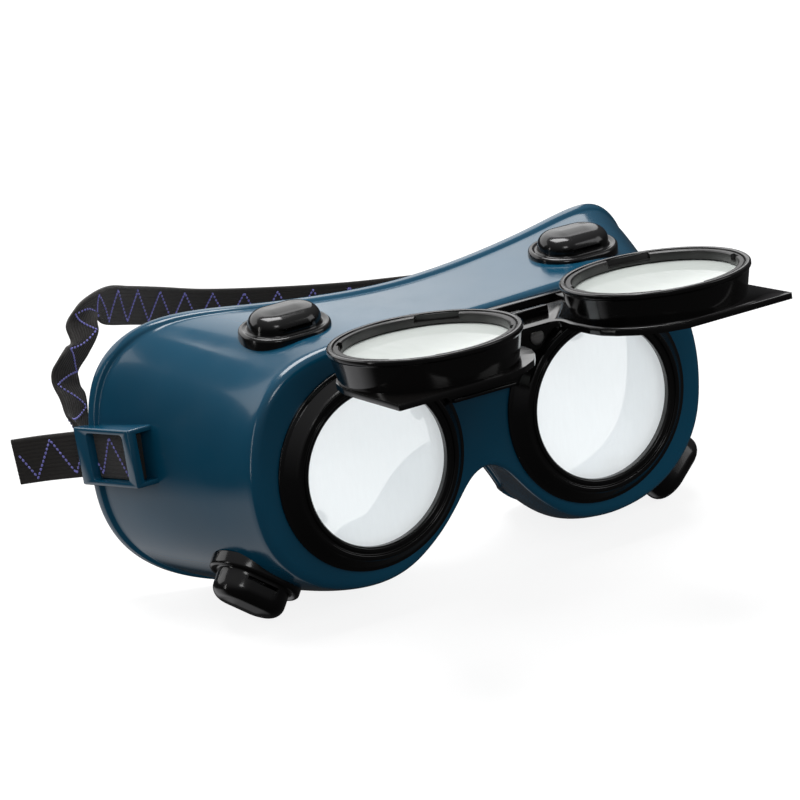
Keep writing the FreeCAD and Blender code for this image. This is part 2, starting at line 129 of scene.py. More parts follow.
def join(name, obs):
    bm = bmesh.new()
    for o in obs:
        bm.from_mesh(o.data)
    me = bpy.data.meshes.new(name)
    bm.to_mesh(me)
    bm.free()
    ob = bpy.data.objects.new(name, me)
    bpy.context.scene.collection.objects.link(ob)
    for o in obs:
        bpy.data.objects.remove(o)
    return ob


def rounded(pts, radii, seg=5, closed=True):
    """polygon corners replaced by arcs; radii is one number or one per point."""
    n = len(pts)
    if not hasattr(radii, "__len__"):
        radii = [radii] * n
    out = []
    for i in range(n):
        p = np.array(pts[i], float)
        if not closed and i in (0, n - 1):
            out.append(p)
            continue
        a = np.array(pts[i - 1], float) - p
        b = np.array(pts[(i + 1) % n], float) - p
        la, lb = np.linalg.norm(a), np.linalg.norm(b)
        a, b = a / la, b / lb
        cosv = float(np.clip(a @ b, -1, 1))
        ang = math.acos(cosv)
        r = radii[i]
        if r <= 0 or ang > math.radians(176):
            out.append(p)
            continue
        t = min(r / math.tan(ang / 2), 0.48 * la, 0.48 * lb)
        r = t * math.tan(ang / 2)
        cdir = (a + b) / np.linalg.norm(a + b)
        c = p + cdir * (r / math.sin(ang / 2))
        p0, p1 = p + a * t, p + b * t
        v0, v1 = p0 - c, p1 - c
        a0 = math.atan2(v0[1], v0[0])
        d = math.atan2(v1[1], v1[0]) - a0
        while d > math.pi:
            d -= 2 * math.pi
        while d < -math.pi:
            d += 2 * math.pi
        for k in range(seg + 1):
            q = a0 + d * k / seg
            out.append(c + r * np.array([math.cos(q), math.sin(q)]))
    return [tuple(q) for q in out]


def revolve(name, profile, x, z=0.0, n=192, M=WORN, axis='Y', closed=True, sharp=38):
    """closed loop of (radius, along) turned about an axis line."""
    prof = [(max(r, 0.0), y) for r, y in profile]
    m = len(prof)
    verts, faces = [], []
    for i in range(n):
        t = 2 * math.pi * i / n
        for r, y in prof:
            if axis == 'Y':
                verts.append((x + r * math.cos(t), y, z + r * math.sin(t)))
            else:
                verts.append((y, x + r * math.cos(t), z + r * math.sin(t)))
    rng_ = range(m) if closed else range(m - 1)
    for i in range(n):
        for k in rng_:
            a, b = i * m + k, i * m + (k + 1) % m
            c, d = ((i + 1) % n) * m + (k + 1) % m, ((i + 1) % n) * m + k
            if prof[k][0] == 0 and prof[(k + 1) % m][0] == 0:
                continue
            if prof[k][0] == 0:
                faces.append((a, b, c))
            elif prof[(k + 1) % m][0] == 0:
                faces.append((a, b, d))
            else:
                faces.append((a, b, c, d))
    return new_obj(name, verts, faces, M, sharp)


def prism(name, pts, a0, a1, axis='Y', M=WORN, bev=0.0, seg=3, holes=()):
    """polygon pushed along an axis. Points are the two other coordinates."""
    def put(p, q, h):
        return {'Y': (p, h, q), 'X': (h, p, q), 'Z': (p, q, h)}[axis]
    loops = [list(pts)] + [list(h) for h in holes]
    verts, faces = [], []
    if holes:
        co, ed = [], []
        for lp in loops:
            b = len(co)
            co += [Vector(p) for p in lp]
            ed += [(b + i, b + (i + 1) % len(lp)) for i in range(len(lp))]
        v, e, f, *_ = delaunay_2d_cdt(co, ed, [], 1, 1e-6)
        tri = []
        for t in f:
            cx = sum(v[i][0] for i in t) / len(t)
            cy = sum(v[i][1] for i in t) / len(t)
            if all(not inside((cx, cy), h) for h in holes) and inside((cx, cy), pts):
                tri.append(t)
        n = len(v)
        verts = [put(p[0], p[1], a0) for p in v] + [put(p[0], p[1], a1) for p in v]
        faces = [tuple(t) for t in tri] + [tuple(i + n for i in reversed(t)) for t in tri]
        b = 0
        for lp in loops:
            k = len(lp)
            for i in range(k):
                faces.append((b + i, b + (i + 1) % k, b + (i + 1) % k + n, b + i + n))
            b += k
    else:
        n = len(pts)
        verts = [put(p[0], p[1], a0) for p in pts] + [put(p[0], p[1], a1) for p in pts]
        faces = [tuple(range(n)), tuple(range(2 * n - 1, n - 1, -1))]
        faces += [(i, (i + 1) % n, (i + 1) % n + n, i + n) for i in range(n)]
    ob = new_obj(name, verts, faces, M)
    if bev:
        bevel(ob, bev, seg)
        tidy(ob)
    return ob


def inside(p, poly):
    x, y = p
    c = False
    n = len(poly)
    for i in range(n):
        x0, y0 = poly[i - 1][0], poly[i - 1][1]
        x1, y1 = poly[i][0], poly[i][1]
        if (y0 > y) != (y1 > y) and x < (x1 - x0) * (y - y0) / (y1 - y0) + x0:
            c = not c
    return c


def rbox(name, x0, x1, y0, y1, z0, z1, bev=0.3, M=WORN, seg=3):
    return prism(name, [(x0, z0), (x1, z0), (x1, z1), (x0, z1)], y0, y1, 'Y', M, bev, seg)


def circle(cx, cz, r, n):
    return [(cx + r * math.cos(2 * math.pi * i / n), cz + r * math.sin(2 * math.pi * i / n)) for i in range(n)]


def finish_piece(ob, mat, body, nodes=()):
    ob.data.materials.clear()
    ob.data.materials.append(mat)
    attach(ob, body)
    if nodes:
        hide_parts(*nodes)
    return ob


# -------------------------------------------------------------- materials
def mat_base(name):
    m = bpy.data.materials.new(name)
    m.use_nodes = True
    nt = m.node_tree
    p = nt.nodes["Principled BSDF"]
    return m, nt, p


def node(nt, kind, **kw):
    n = nt.nodes.new(kind)
    for k, v in kw.items():
        setattr(n, k, v)
    return n


def noise(nt, coord, scale, detail=3.0, rough=0.5):
    n = node(nt, "ShaderNodeTexNoise")
    n.inputs["Scale"].default_value = scale
    n.inputs["Detail"].default_value = detail
    n.inputs["Roughness"].default_value = rough
    nt.links.new(coord, n.inputs["Vector"])
    return n.outputs["Fac"]


def ramp(nt, fac, stops):
    r = node(nt, "ShaderNodeValToRGB")
    e = r.color_ramp.elements
    e[0].position, e[0].color = stops[0][0], (*stops[0][1], 1)
    e[1].position, e[1].color = stops[1][0], (*stops[1][1], 1)
    for pos, col in stops[2:]:
        k = e.new(pos)
        k.color = (*col, 1)
    nt.links.new(fac, r.inputs["Fac"])
    return r.outputs["Color"]


def maprange(nt, fac, a, b, lo, hi):
    m = node(nt, "ShaderNodeMapRange")
    m.inputs["From Min"].default_value = a
    m.inputs["From Max"].default_value = b
    m.inputs["To Min"].default_value = lo
    m.inputs["To Max"].default_value = hi
    nt.links.new(fac, m.inputs["Value"])
    return m.outputs["Result"]


def bump(nt, height, strength, dist, chain=None):
    b = node(nt, "ShaderNodeBump")
    b.inputs["Strength"].default_value = strength
    b.inputs["Distance"].default_value = dist
    nt.links.new(height, b.inputs["Height"])
    if chain is not None:
        nt.links.new(chain, b.inputs["Normal"])
    return b.outputs["Normal"]


def objcoord(nt):
    return node(nt, "ShaderNodeTexCoord").outputs["Object"]


def gloss_moulded(name, dark, light, r0, r1, wave=0.0, spec=0.5, coat=0.0, fine=0.00001, sss=0.0):
    """polished or satin moulded plastic: slow colour drift, patchy gloss, faint orange peel."""
    m, nt, p = mat_base(name)
    co = objcoord(nt)
    big = noise(nt, co, 22.0, 2.0)
    nt.links.new(ramp(nt, big, [(0.35, dark), (0.68, light)]), p.inputs["Base Color"])
    mid = noise(nt, co, 85.0, 4.0, 0.6)
    nt.links.new(maprange(nt, mid, 0.3, 0.7, r0, r1), p.inputs["Roughness"])
    n1 = bump(nt, noise(nt, co, 30.0, 2.0), 0.5, wave) if wave else None
    n2 = bump(nt, noise(nt, co, 900.0, 2.0), 0.35, fine, n1)
    nt.links.new(n2, p.inputs["Normal"])
    p.inputs["Specular IOR Level"].default_value = spec
    p.inputs["Coat Weight"].default_value = coat
    p.inputs["Coat Roughness"].default_value = 0.06
    if sss:
        p.inputs["Subsurface Weight"].default_value = sss
        p.inputs["Subsurface Radius"].default_value = (0.15, 0.8, 1.0)
        p.inputs["Subsurface Scale"].default_value = 0.0025
    return m


PVC = gloss_moulded("pvc_teal", (0.0024, 0.062, 0.118), (0.0040, 0.080, 0.150), 0.13, 0.22, wave=0.00022, spec=0.55, coat=0.25,
                    fine=0.000006)
BLACK = gloss_moulded("black_gloss", (0.0028, 0.0026, 0.0025), (0.0048, 0.0044, 0.0042), 0.12, 0.20, wave=0.00003, spec=0.5,
                      coat=0.15, fine=0.000004)
BLACK2 = gloss_moulded("black_satin", (0.0045, 0.0042, 0.0040), (0.0080, 0.0075, 0.0070), 0.26, 0.36, wave=0.00004, spec=0.5,
                       fine=0.00001)
RUBBER = gloss_moulded("gasket_black", (0.012, 0.012, 0.012), (0.022, 0.022, 0.022), 0.55, 0.7, fine=0.00003, spec=0.3)
FIBRE = gloss_moulded("washer_fibre", (0.10, 0.075, 0.05), (0.20, 0.16, 0.11), 0.7, 0.85, fine=0.00004, spec=0.2)


def steel():
    m, nt, p = mat_base("plated_steel")
    co = objcoord(nt)
    mp = node(nt, "ShaderNodeMapping")
    mp.inputs["Scale"].default_value = (60.0, 2200.0, 2200.0)
    nt.links.new(co, mp.inputs["Vector"])
    br = noise(nt, mp.outputs["Vector"], 1.0, 3.0)
    nt.links.new(ramp(nt, br, [(0.3, (0.55, 0.54, 0.52)), (0.7, (0.74, 0.73, 0.71))]), p.inputs["Base Color"])
    nt.links.new(maprange(nt, br, 0.3, 0.7, 0.34, 0.48), p.inputs["Roughness"])
    nt.links.new(bump(nt, br, 0.25, 0.00002), p.inputs["Normal"])
    p.inputs["Metallic"].default_value = 1.0
    return m


STEEL = steel()


def lens_material(name, tint, body, alpha, rough0, rough1, painted_glow):
    """a disc of cast plastic that lets part of the light through and carries faint wipe marks; its pale base colour is
    a painted reflection and the emission is a painted glow.
    """
    m, nt, p = mat_base(name)
    co = objcoord(nt)
    big = noise(nt, co, 18.0, 2.0)
    nt.links.new(ramp(nt, big, [(0.3, tint), (0.7, body)]), p.inputs["Base Color"])
    mp = node(nt, "ShaderNodeMapping")
    mp.inputs["Scale"].default_value = (900.0, 90.0, 160.0)
    mp.inputs["Rotation"].default_value = (0.0, 0.0, 0.5)
    nt.links.new(co, mp.inputs["Vector"])
    wipe = noise(nt, mp.outputs["Vector"], 1.0, 4.0, 0.6)
    nt.links.new(maprange(nt, wipe, 0.45, 0.75, rough0, rough1), p.inputs["Roughness"])
    nt.links.new(maprange(nt, wipe, 0.3, 0.8, alpha - 0.012, alpha + 0.012), p.inputs["Alpha"])
    nt.links.new(bump(nt, wipe, 0.02, 0.000001), p.inputs["Normal"])
    p.inputs["IOR"].default_value = 1.58
    p.inputs["Coat Weight"].default_value = 0.3
    p.inputs["Coat Roughness"].default_value = 0.03
    # painted glow: the lens emits light of its own though it is no lamp
    p.inputs["Emission Color"].default_value = (0.95, 0.985, 1.0, 1)
    p.inputs["Emission Strength"].default_value = painted_glow
    return m


# clear lens: the near-white base colour is painted light, the bright backdrop seen through it, and the emission is a
# painted glow
LENS_CLEAR = lens_material("lens_clear", (0.88, 0.925, 0.94), (0.93, 0.96, 0.97), 0.64, 0.05, 0.08, 0.46)
# filter lens: the pale base colour is a painted reflection of the overhead light; the real shade lens is dark green
LENS_FILTER = lens_material("lens_filter", (0.78, 0.83, 0.79), (0.85, 0.89, 0.86), 0.90, 0.05, 0.10, 0.0)


def webbing(name, dark, light):
    """knitted elastic: fine courses across the ribs, matt yarn with a little fuzz sheen."""
    m, nt, p = mat_base(name)
    uv = node(nt, "ShaderNodeTexCoord").outputs["UV"]
    sep = node(nt, "ShaderNodeSeparateXYZ")
    nt.links.new(uv, sep.inputs["Vector"])
    w = node(nt, "ShaderNodeTexWave")
    w.wave_type, w.bands_direction, w.wave_profile = 'BANDS', 'X', 'SIN'
    w.inputs["Scale"].default_value = 1.0
    w.inputs["Distortion"].default_value = 0.6
    w.inputs["Detail"].default_value = 1.0
    nt.links.new(uv, w.inputs["Vector"])
    co = objcoord(nt)
    fz = noise(nt, co, 1400.0, 3.0, 0.7)
    mixn = node(nt, "ShaderNodeMath", operation='MULTIPLY')
    nt.links.new(w.outputs["Fac"], mixn.inputs[0])
    nt.links.new(fz, mixn.inputs[1])
    nt.links.new(ramp(nt, mixn.outputs[0], [(0.05, dark), (0.55, light)]), p.inputs["Base Color"])
    nt.links.new(maprange(nt, fz, 0.3, 0.7, 0.62, 0.85), p.inputs["Roughness"])
    n1 = bump(nt, w.outputs["Fac"], 0.7, 0.00010)
    n2 = bump(nt, fz, 0.5, 0.00005, n1)
    nt.links.new(n2, p.inputs["Normal"])
    p.inputs["Specular IOR Level"].default_value = 0.35
    p.inputs["Sheen Weight"].default_value = 0.25
    p.inputs["Sheen Roughness"].default_value = 0.4
    return m


WEB = webbing("elastic_charcoal", (0.017, 0.015, 0.014), (0.056, 0.050, 0.046))


def thread(name, dark, light):
    m, nt, p = mat_base(name)
    co = objcoord(nt)
    f = noise(nt, co, 2600.0, 2.0, 0.6)
    nt.links.new(ramp(nt, f, [(0.3, dark), (0.7, light)]), p.inputs["Base Color"])
    nt.links.new(maprange(nt, f, 0.3, 0.7, 0.4, 0.6), p.inputs["Roughness"])
    nt.links.new(bump(nt, f, 0.4, 0.00003), p.inputs["Normal"])
    p.inputs["Sheen Weight"].default_value = 0.3
    return m


THREAD = thread("stitch_violet", (0.17, 0.16, 0.66), (0.40, 0.38, 0.92))

# ------------------------------------------------------------------ shell
WALL, Y_FACE, FACE_T = 3.0, 4.0, 3.0
SEC = [
    (4.0, [(0, 37.0), (25, 37.5), (45, 37.3), (57.5, 35.2), (66, 31), (71.5, 25), (75.2, 16), (76.9, 5),
           (76.6, -4), (74.6, -14), (70, -22.5), (63.5, -28.8), (54, -33.4), (43, -35.3), (33, -34.4),
           (23, -30), (15, -23.8), (9, -17.2), (4.5, -12.4), (0, -10.6)]),
    (28.0, [(0, 38.3), (26, 39.3), (48, 40.5), (61.5, 39.6), (71, 35.6), (77.8, 28.4), (82.2, 17.8), (84.4, 5.2),
            (84.3, -5), (82.2, -15.8), (77.4, -25.1), (70, -32.0), (60, -37.0), (48.6, -39.4), (38.4, -39.6),
            (29, -37.2), (22.4, -30.8), (16.6, -22.0), (9.6, -13.4), (0, -9.8)]),
    (56.0, [(0, 39.2), (28, 40.8), (50, 43.0), (66.0, 44.2), (78.0, 41.9), (86.2, 34.6), (91.2, 22.6), (92.9, 7.4),
            (92.9, -5.6), (90.6, -17.4), (85.6, -26.6), (78, -32.8), (68, -36.2), (57, -37.7), (46, -37.7),
            (36.4, -35.8), (28.6, -30.4), (21.8, -22.0), (12.8, -13.4), (0, -9.4)]),
    (92.0, [(0, 39.6), (29, 41.6), (51.5, 44.0), (67.5, 45.4), (79, 43.0), (87.8, 36.2), (93.8, 24), (96.8, 8.0),
            (96.8, -6), (94.6, -18.2), (89.6, -27.4), (81.8, -33.6), (71, -36.8), (59, -37.6), (48.5, -37.5),
            (38.4, -35.8), (30.4, -30.4), (23.4, -22), (14, -13.4), (0, -9.2)]),
]
NC = 420


def periodic_spline(pts, n):
    """cubic spline through closed points, chord-length parameter, n even samples of that parameter."""
    P = np.array(pts, float)
    m = len(P)
    d = np.linalg.norm(np.roll(P, -1, 0) - P, axis=1)
    t = np.concatenate([[0], np.cumsum(d)])
    h = d
    A = np.zeros((m, m))
    B = np.zeros((m, 2))
    for i in range(m):
        hp, hn = h[i - 1], h[i]
        A[i, i - 1] += hp
        A[i, i] += 2 * (hp + hn)
        A[i, (i + 1) % m] += hn
        B[i] = 6 * ((P[(i + 1) % m] - P[i]) / hn - (P[i] - P[i - 1]) / hp)
    Mm = np.linalg.solve(A, B)
    u = np.linspace(0, t[-1], n, endpoint=False)
    k = np.clip(np.searchsorted(t, u, side='right') - 1, 0, m - 1)
    a = (t[k + 1] - u)[:, None]
    b = (u - t[k])[:, None]
    hk = h[k][:, None]
    k1 = (k + 1) % m
    return Mm[k] * a**3 / (6 * hk) + Mm[k1] * b**3 / (6 * hk) + (P[k] / hk - Mm[k] * hk / 6) * a + (P[k1] / hk - Mm[k1] * hk / 6) * b


def gauss_periodic(a, sig):
    n = len(a)
    f = np.fft.fft(a, axis=0)
    w = np.exp(-2 * (np.pi * np.fft.fftfreq(n) * sig) ** 2)
    if a.ndim == 2:
        w = w[:, None]
    return np.real(np.fft.ifft(f * w, axis=0))


def fair(a, sig=4.0):
    g = gauss_periodic(a, sig)
    return 2 * g - gauss_periodic(g, sig)


secs = []
for y, half in SEC:
    full_ = list(half) + [(-x, z) for x, z in half[1:-1]][::-1]
    secs.append(fair(periodic_spline(full_, NC)))
ys_sec = np.array([s[0] for s in SEC])


def outline(y):
    """(NC, 2) outline at depth y; y may be one number per column."""
    y = np.broadcast_to(np.asarray(y, float), (NC,))
    out = np.zeros((NC, 2))
    for i in range(4):
        w = np.ones(NC)
        for j in range(4):
            if j != i:
                w *= (y - ys_sec[j]) / (ys_sec[i] - ys_sec[j])
        out += secs[i] * w[:, None]
    return out


def normals2(y):
    p = outline(y)
    t = np.roll(p, -1, 0) - np.roll(p, 1, 0)
    t /= np.linalg.norm(t, axis=1)[:, None]
    return np.stack([-t[:, 1], t[:, 0]], 1)       # outward for a clockwise outline


def rear_curve(x):
    px = [0, 20, 40, 58, 72, 84, 93, 102, 130]
    py = [45.4, 45.8, 47.6, 51, 55.6, 61.4, 67, 72, 82]
    xs = np.array([-v for v in px[:0:-1]] + px)
    yy = np.array(py[:0:-1] + py)
    # natural cubic through the plan points
    n = len(xs)
    h = np.diff(xs)
    A = np.zeros((n, n))
    B = np.zeros(n)
    A[0, 0] = A[-1, -1] = 1
    for i in range(1, n - 1):
        A[i, i - 1], A[i, i], A[i, i + 1] = h[i - 1], 2 * (h[i - 1] + h[i]), h[i]
        B[i] = 6 * ((yy[i + 1] - yy[i]) / h[i] - (yy[i] - yy[i - 1]) / h[i - 1])
    Mm = np.linalg.solve(A, B)
    x = np.asarray(x, float)
    k = np.clip(np.searchsorted(xs, x, side='right') - 1, 0, n - 2)
    a, b, hk = xs[k + 1] - x, x - xs[k], h[k]
    return Mm[k] * a**3 / (6 * hk) + Mm[k + 1] * b**3 / (6 * hk) + (yy[k] / hk - Mm[k] * hk / 6) * a + (yy[k + 1] / hk - Mm[k + 1] * hk / 6) * b


def edge_depth():
    lo, hi = np.full(NC, 20.0), np.full(NC, 90.0)
    for _ in range(40):
        mid = (lo + hi) / 2
        p = outline(mid)
        over = mid > rear_curve(p[:, 0])
        hi = np.where(over, mid, hi)
        lo = np.where(over, lo, mid)
    rear = (lo + hi) / 2
    nose = np.full(NC, 300.0)
    for y in np.arange(46.5, 10, -0.25):
        p = outline(y)
        r = 33 - 26 * (p[:, 1] + 48) / 66
        ins = (np.hypot(p[:, 0], y - 50) < r) & (p[:, 1] < 5)
        nose = np.where(ins, y, nose)
    k = 2.0
    nose = np.minimum(nose, rear + 6)
    e = -np.log(np.exp(-rear / k) + np.exp(-nose / k)) * k
    return gauss_periodic(e, 1.6)


Y_END = edge_depth()
NRM0 = None


def ring3(y, inset):
    """columns at depth y (array), pushed in by inset along the outline normal."""
    p = outline(y)
    n = normals2(y)
    q = p - n * np.broadcast_to(np.asarray(inset, float), (NC,))[:, None]
    yy = np.broadcast_to(np.asarray(y, float), (NC,))
    return np.stack([q[:, 0], yy, q[:, 1]], 1)


def build_shell():
    rows = []
    R = 2.4
    for k in range(7):                                   # rounded front edge
        ph = math.pi / 2 * k / 6
        rows.append(ring3(Y_FACE + R * (1 - math.cos(ph)), R * (1 - math.sin(ph))))
    y0 = Y_FACE + R
    yb = Y_END - 4.9
    for k in range(1, 37):                               # the wall
        f = k / 36
        rows.append(ring3(y0 + (yb - y0) * f, 0.0))
    # the bead along the face edge: ramp, crown, round lip
    for dy, out in ((4.55, 0.10), (4.3, 0.38), (4.05, 0.66), (3.7, 0.86), (3.2, 0.95), (2.4, 1.0), (1.7, 0.98)):
        rows.append(ring3(Y_END - dy, -out))
    half_t = (WALL + 0.98) / 2
    mid = WALL - half_t
    for k in range(1, 12):
        a = math.pi * k / 12
        rows.append(ring3(Y_END - 1.7 + 1.7 * math.sin(a), mid - half_t * math.cos(a)))
    for k in range(0, 31):                               # inside wall
        f = k / 30
        rows.append(ring3((Y_END - 1.7) + ((Y_FACE + FACE_T + 2.0) - (Y_END - 1.7)) * f, WALL))
    for k in range(1, 6):
        ph = math.pi / 2 * k / 5
        rows.append(ring3(Y_FACE + FACE_T + 2.0 * (1 - math.sin(ph)), WALL + 2.0 * (1 - math.cos(ph))))
    verts = np.vstack(rows)
    nr = len(rows)
    faces = []
    for r in range(nr - 1):
        for c in range(NC):
            a, b = r * NC + c, r * NC + (c + 1) % NC
            faces.append((a, b, b + NC, a + NC))
    verts = [tuple(v) for v in verts]

    def plate(row_index, y):
        base = row_index * NC
        loop = [(verts[base + i][0], verts[base + i][2]) for i in range(NC)]
        hole_l, hole_r = circle(-LX, 0, 28.0, 128), circle(LX, 0, 28.0, 128)
        co = [Vector(p) for p in loop]
        ed = [(i, (i + 1) % NC) for i in range(NC)]
        for h in (hole_l, hole_r):
            b = len(co)
            co += [Vector(p) for p in h]
            ed += [(b + i, b + (i + 1) % len(h)) for i in range(len(h))]
        L = np.array(loop)
        extra = []
        s = 2.6
        for j, zz in enumerate(np.arange(-40, 42, s * 0.866)):
            for xx in np.arange(-80, 80, s) + (s / 2 if j % 2 else 0):
                if min(math.hypot(xx + LX, zz), math.hypot(xx - LX, zz)) < 28 + 1.4:
                    continue
                if np.min(np.hypot(L[:, 0] - xx, L[:, 1] - zz)) < 1.5 or not inside((xx, zz), loop):
                    continue
                extra.append(Vector((xx, zz)))
        n0 = len(co)
        v, e, f, *_ = delaunay_2d_cdt(co + extra, ed, [], 1, 1e-7)
        assert len(v) == n0 + len(extra)
        idx = {}
        for i in range(NC):
            idx[i] = base + i
        start = len(verts)
        for i in range(NC, len(v)):
            idx[i] = len(verts)
            verts.append((v[i][0], y, v[i][1]))
        for t in f:
            cx = sum(v[i][0] for i in t) / len(t)
            cy = sum(v[i][1] for i in t) / len(t)
            if min(math.hypot(cx + LX, cy), math.hypot(cx - LX, cy)) < 27.95 or not inside((cx, cy), loop):
                continue
            faces.append(tuple(idx[i] for i in t))
        return [[idx[NC + h * 128 + i] for i in range(128)] for h in range(2)]

    fr = plate(0, Y_FACE)
    bk = plate(nr - 1, Y_FACE + FACE_T)
    for h in range(2):
        for i in range(128):
            faces.append((fr[h][i], fr[h][(i + 1) % 128], bk[h][(i + 1) % 128], bk[h][i]))
    return new_obj("shell", verts, faces, WORN, 40)


shell = build_shell()


def wall_x(y, z):
    """outer side-wall x at depth y and height z (right side)."""
    p = outline(y)
    sel = p[:, 0] > 60
    q = p[sel]
    o = np.argsort(q[:, 1])
    return float(np.interp(z, q[o, 1], q[o, 0]))


# strap lugs: a moulded loop on each side wall
LUG_Z, LUG_H, LUG_Y0, LUG_Y1 = 7.3, 17.4, 41.7, 69.2


def build_lug(s):
    tilt = Matrix.Translation((0, (LUG_Y0 + LUG_Y1) / 2, LUG_Z)) @ Matrix.Rotation(math.radians(-6.5), 4, 'X') @ \
        Matrix.Translation((0, -(LUG_Y0 + LUG_Y1) / 2, -LUG_Z))
    M = WORN @ tilt
    z0, z1 = LUG_Z - LUG_H / 2, LUG_Z + LUG_H / 2
    ye = 63.5
    inner_pts = [(wall_x(y, LUG_Z) - 1.6, y) for y in (LUG_Y0, 46, 52, 58, ye)]
    outer = inner_pts + [(98.4, LUG_Y1), (99.6, LUG_Y1), (95.6, LUG_Y0)]
    tun = [(inner_pts[0][0] - 6, LUG_Y0 - 2), (inner_pts[-1][0] - 6, ye + 14), (97.6, LUG_Y1 + 3), (93.3 - 0.4, LUG_Y0 - 2)]
    blk = prism("lug", [(s * x, y) for x, y in outer], z0, z1, 'Z', M, 0.75, 4)
    t = prism("t", [(s * x, y) for x, y in tun], z0 + 1.5, z1 - 1.5, 'Z', M)
    boolean(blk, t, 'DIFFERENCE')
    w = prism("w", rounded([(LUG_Y0 + 3.6, z0 + 1.5), (LUG_Y1 - 6.0, z0 + 1.5), (LUG_Y1 - 6.0, z1 - 1.5), (LUG_Y0 + 3.6, z1 - 1.5)],
                            1.2), 90 if s > 0 else -114, 114 if s > 0 else -90, 'X', M)
    boolean(blk, w, 'DIFFERENCE')
    bevel(blk, 0.28, 2, 40)
    chan = [(90.4, LUG_Y0 - 1), (94.4, LUG_Y1 + 1), (97.3, LUG_Y1 + 1), (93.3, LUG_Y0 - 1)]
    ch = prism("ch", [(s * x, y) for x, y in chan], z0 + 1.45, z1 - 1.45, 'Z', M)
    return tidy(blk), ch


def cap_frame(lvl, nm):
    """local frame of a vent from its CAD solids: origin on the shell, z along the cap's axis."""
    cap = frame["nodes"]["vent_cap_%s_%s" % (lvl, nm)].data
    acc = {}
    for p in cap.polygons:
        n = p.normal
        k = (round(n.x, 2), round(n.y, 2), round(n.z, 2))
        a = acc.setdefault(k, [0.0, Vector((0, 0, 0))])
        a[0] += p.area
        a[1] += n * p.area
    up = Vector((0, 0, 1)) if lvl == "top" else Vector((0, 0, -1))
    best = max((v for k, v in acc.items() if v[1].normalized().dot(up) < 0.9995 or lvl == "top"),
               key=lambda v: v[0] if v[1].dot(up) > 0 else 0)
    n = best[1].normalized()
    base = frame["nodes"]["vent_base_%s_%s" % (lvl, nm)].data
    hmax = max(v.co.dot(n) for v in base.vertices)
    c, w = Vector((0, 0, 0)), 0.0
    for p in base.polygons:
        if p.normal.dot(n) > 0.999 and abs(p.center.dot(n) - hmax) < 2e-5:
            c += p.center * p.area
            w += p.area
    origin = c / w - n * 0.0015
    ux = Vector((1, 0, 0))
    u = (ux - n * ux.dot(n)).normalized()
    v = n.cross(u)
    M = Matrix(((u.x, v.x, n.x, origin.x), (u.y, v.y, n.y, origin.y), (u.z, v.z, n.z, origin.z), (0, 0, 0, 1)))
    return M @ Matrix.Diagonal((.001, .001, .001, 1))


VF = {(lvl, nm): cap_frame(lvl, nm) for nm, s in SIDES for lvl in ("top", "bottom")}

for (lvl, nm), M in VF.items():
    cyl = revolve("cut", rounded([(0, -9), (6.5, -9), (6.5, 9), (0, 9)], 0), 0, 0, 64,
                  M @ Matrix.Rotation(math.radians(90), 4, 'X'), 'Y', closed=False)
    boolean(shell, cyl, 'DIFFERENCE')
for nm, s in SIDES:
    lug, channel = build_lug(s)
    boolean(shell, channel, 'DIFFERENCE')
    bm = bmesh.new()
    bm.from_mesh(shell.data)
    bm.from_mesh(lug.data)
    bm.to_mesh(shell.data)
    bm.free()
    bpy.data.objects.remove(lug)
tidy(shell, 40)
finish_piece(shell, PVC, "goggle", ["body_shell"])
shell.name = "shell"

# ------------------------------------------------------------ front frame
POCKET_R, APERTURE_R = 25.15, 23.1
holder = [(28.0, 11.0), (28.0, 4.0), (31.0, 4.0), (31.0, 3.2), (29.8, 2.8), (27.4, 0.3), (27.0, -0.3), (26.6, -0.5), (25.7, -0.5),
          (25.4, 0.1), (24.8, 0.1), (24.5, -0.4), (23.6, -0.4), (APERTURE_R, 0.1), (APERTURE_R, 1.6), (POCKET_R, 1.6), (POCKET_R, 11.0)]
hr = [0.4, 0.2, 0.15, 0.35, 0.6, 0.5, 0.4, 0.35, 0.3, 0.22, 0.22, 0.25, 0.35, 0.4, 0.2, 0.1, 0.35]
holder_p = rounded(holder, hr, 5)
frame_parts = [revolve("h%s" % nm, holder_p, s * LX, n=256) for nm, s in SIDES]
pl = [(-29.5, 34.4), (29.5, 34.4), (29.5, 27.5), (19.6, 20.4), (13, 14), (11.5, 12), (-11.5, 12), (-13, 14), (-19.6, 20.4), (-29.5, 27.5)]
frame_parts.append(prism("p", rounded(pl, 1.2), 1.8, 4.0, 'Y', WORN, 0.3))
frame_parts.append(rbox("r1", -12.4, 12.4, 0.9, 2.2, 15.4, 16.8, 0.4))
frame_parts.append(rbox("r2", -10.9, 10.9, 0.9, 2.2, 12.0, 13.2, 0.4))
ff = frame_parts[0]
for o in frame_parts[1:]:
    boolean(ff, o, 'UNION')
for nm, s in SIDES:
    boolean(ff, revolve("c", [(0, 1.65), (POCKET_R - .02, 1.65), (POCKET_R - .02, 12), (0, 12)], s * LX, n=256, closed=False), 'DIFFERENCE')
    boolean(ff, revolve("c", [(0, -3), (APERTURE_R - .01, -3), (APERTURE_R - .01, 3), (0, 3)], s * LX, n=256, closed=False), 'DIFFERENCE')
tidy(ff, 35)
ff.name = "front_frame_visual"
finish_piece(ff, BLACK, "goggle", ["front_frame"])

# ------------------------------------------------------------------ lenses
def lens(name, x, y0, y1, M, body, node_, mat):
    """a disc with eased edges, as cast lenses have."""
    prof = [(0.0, y0)] + [(r, y0) for r in (6, 12, 18, 22)] + rounded([(24.0, y0), (25.0, y0), (25.0, y1), (24.0, y1)], 0.25, 4, closed=False) + \
        [(r, y1) for r in (22, 18, 12, 6)] + [(0.0, y1)]
    o = revolve(name, prof, x, n=160, M=M, closed=False, sharp=50)
    return finish_piece(o, mat, body, [node_])


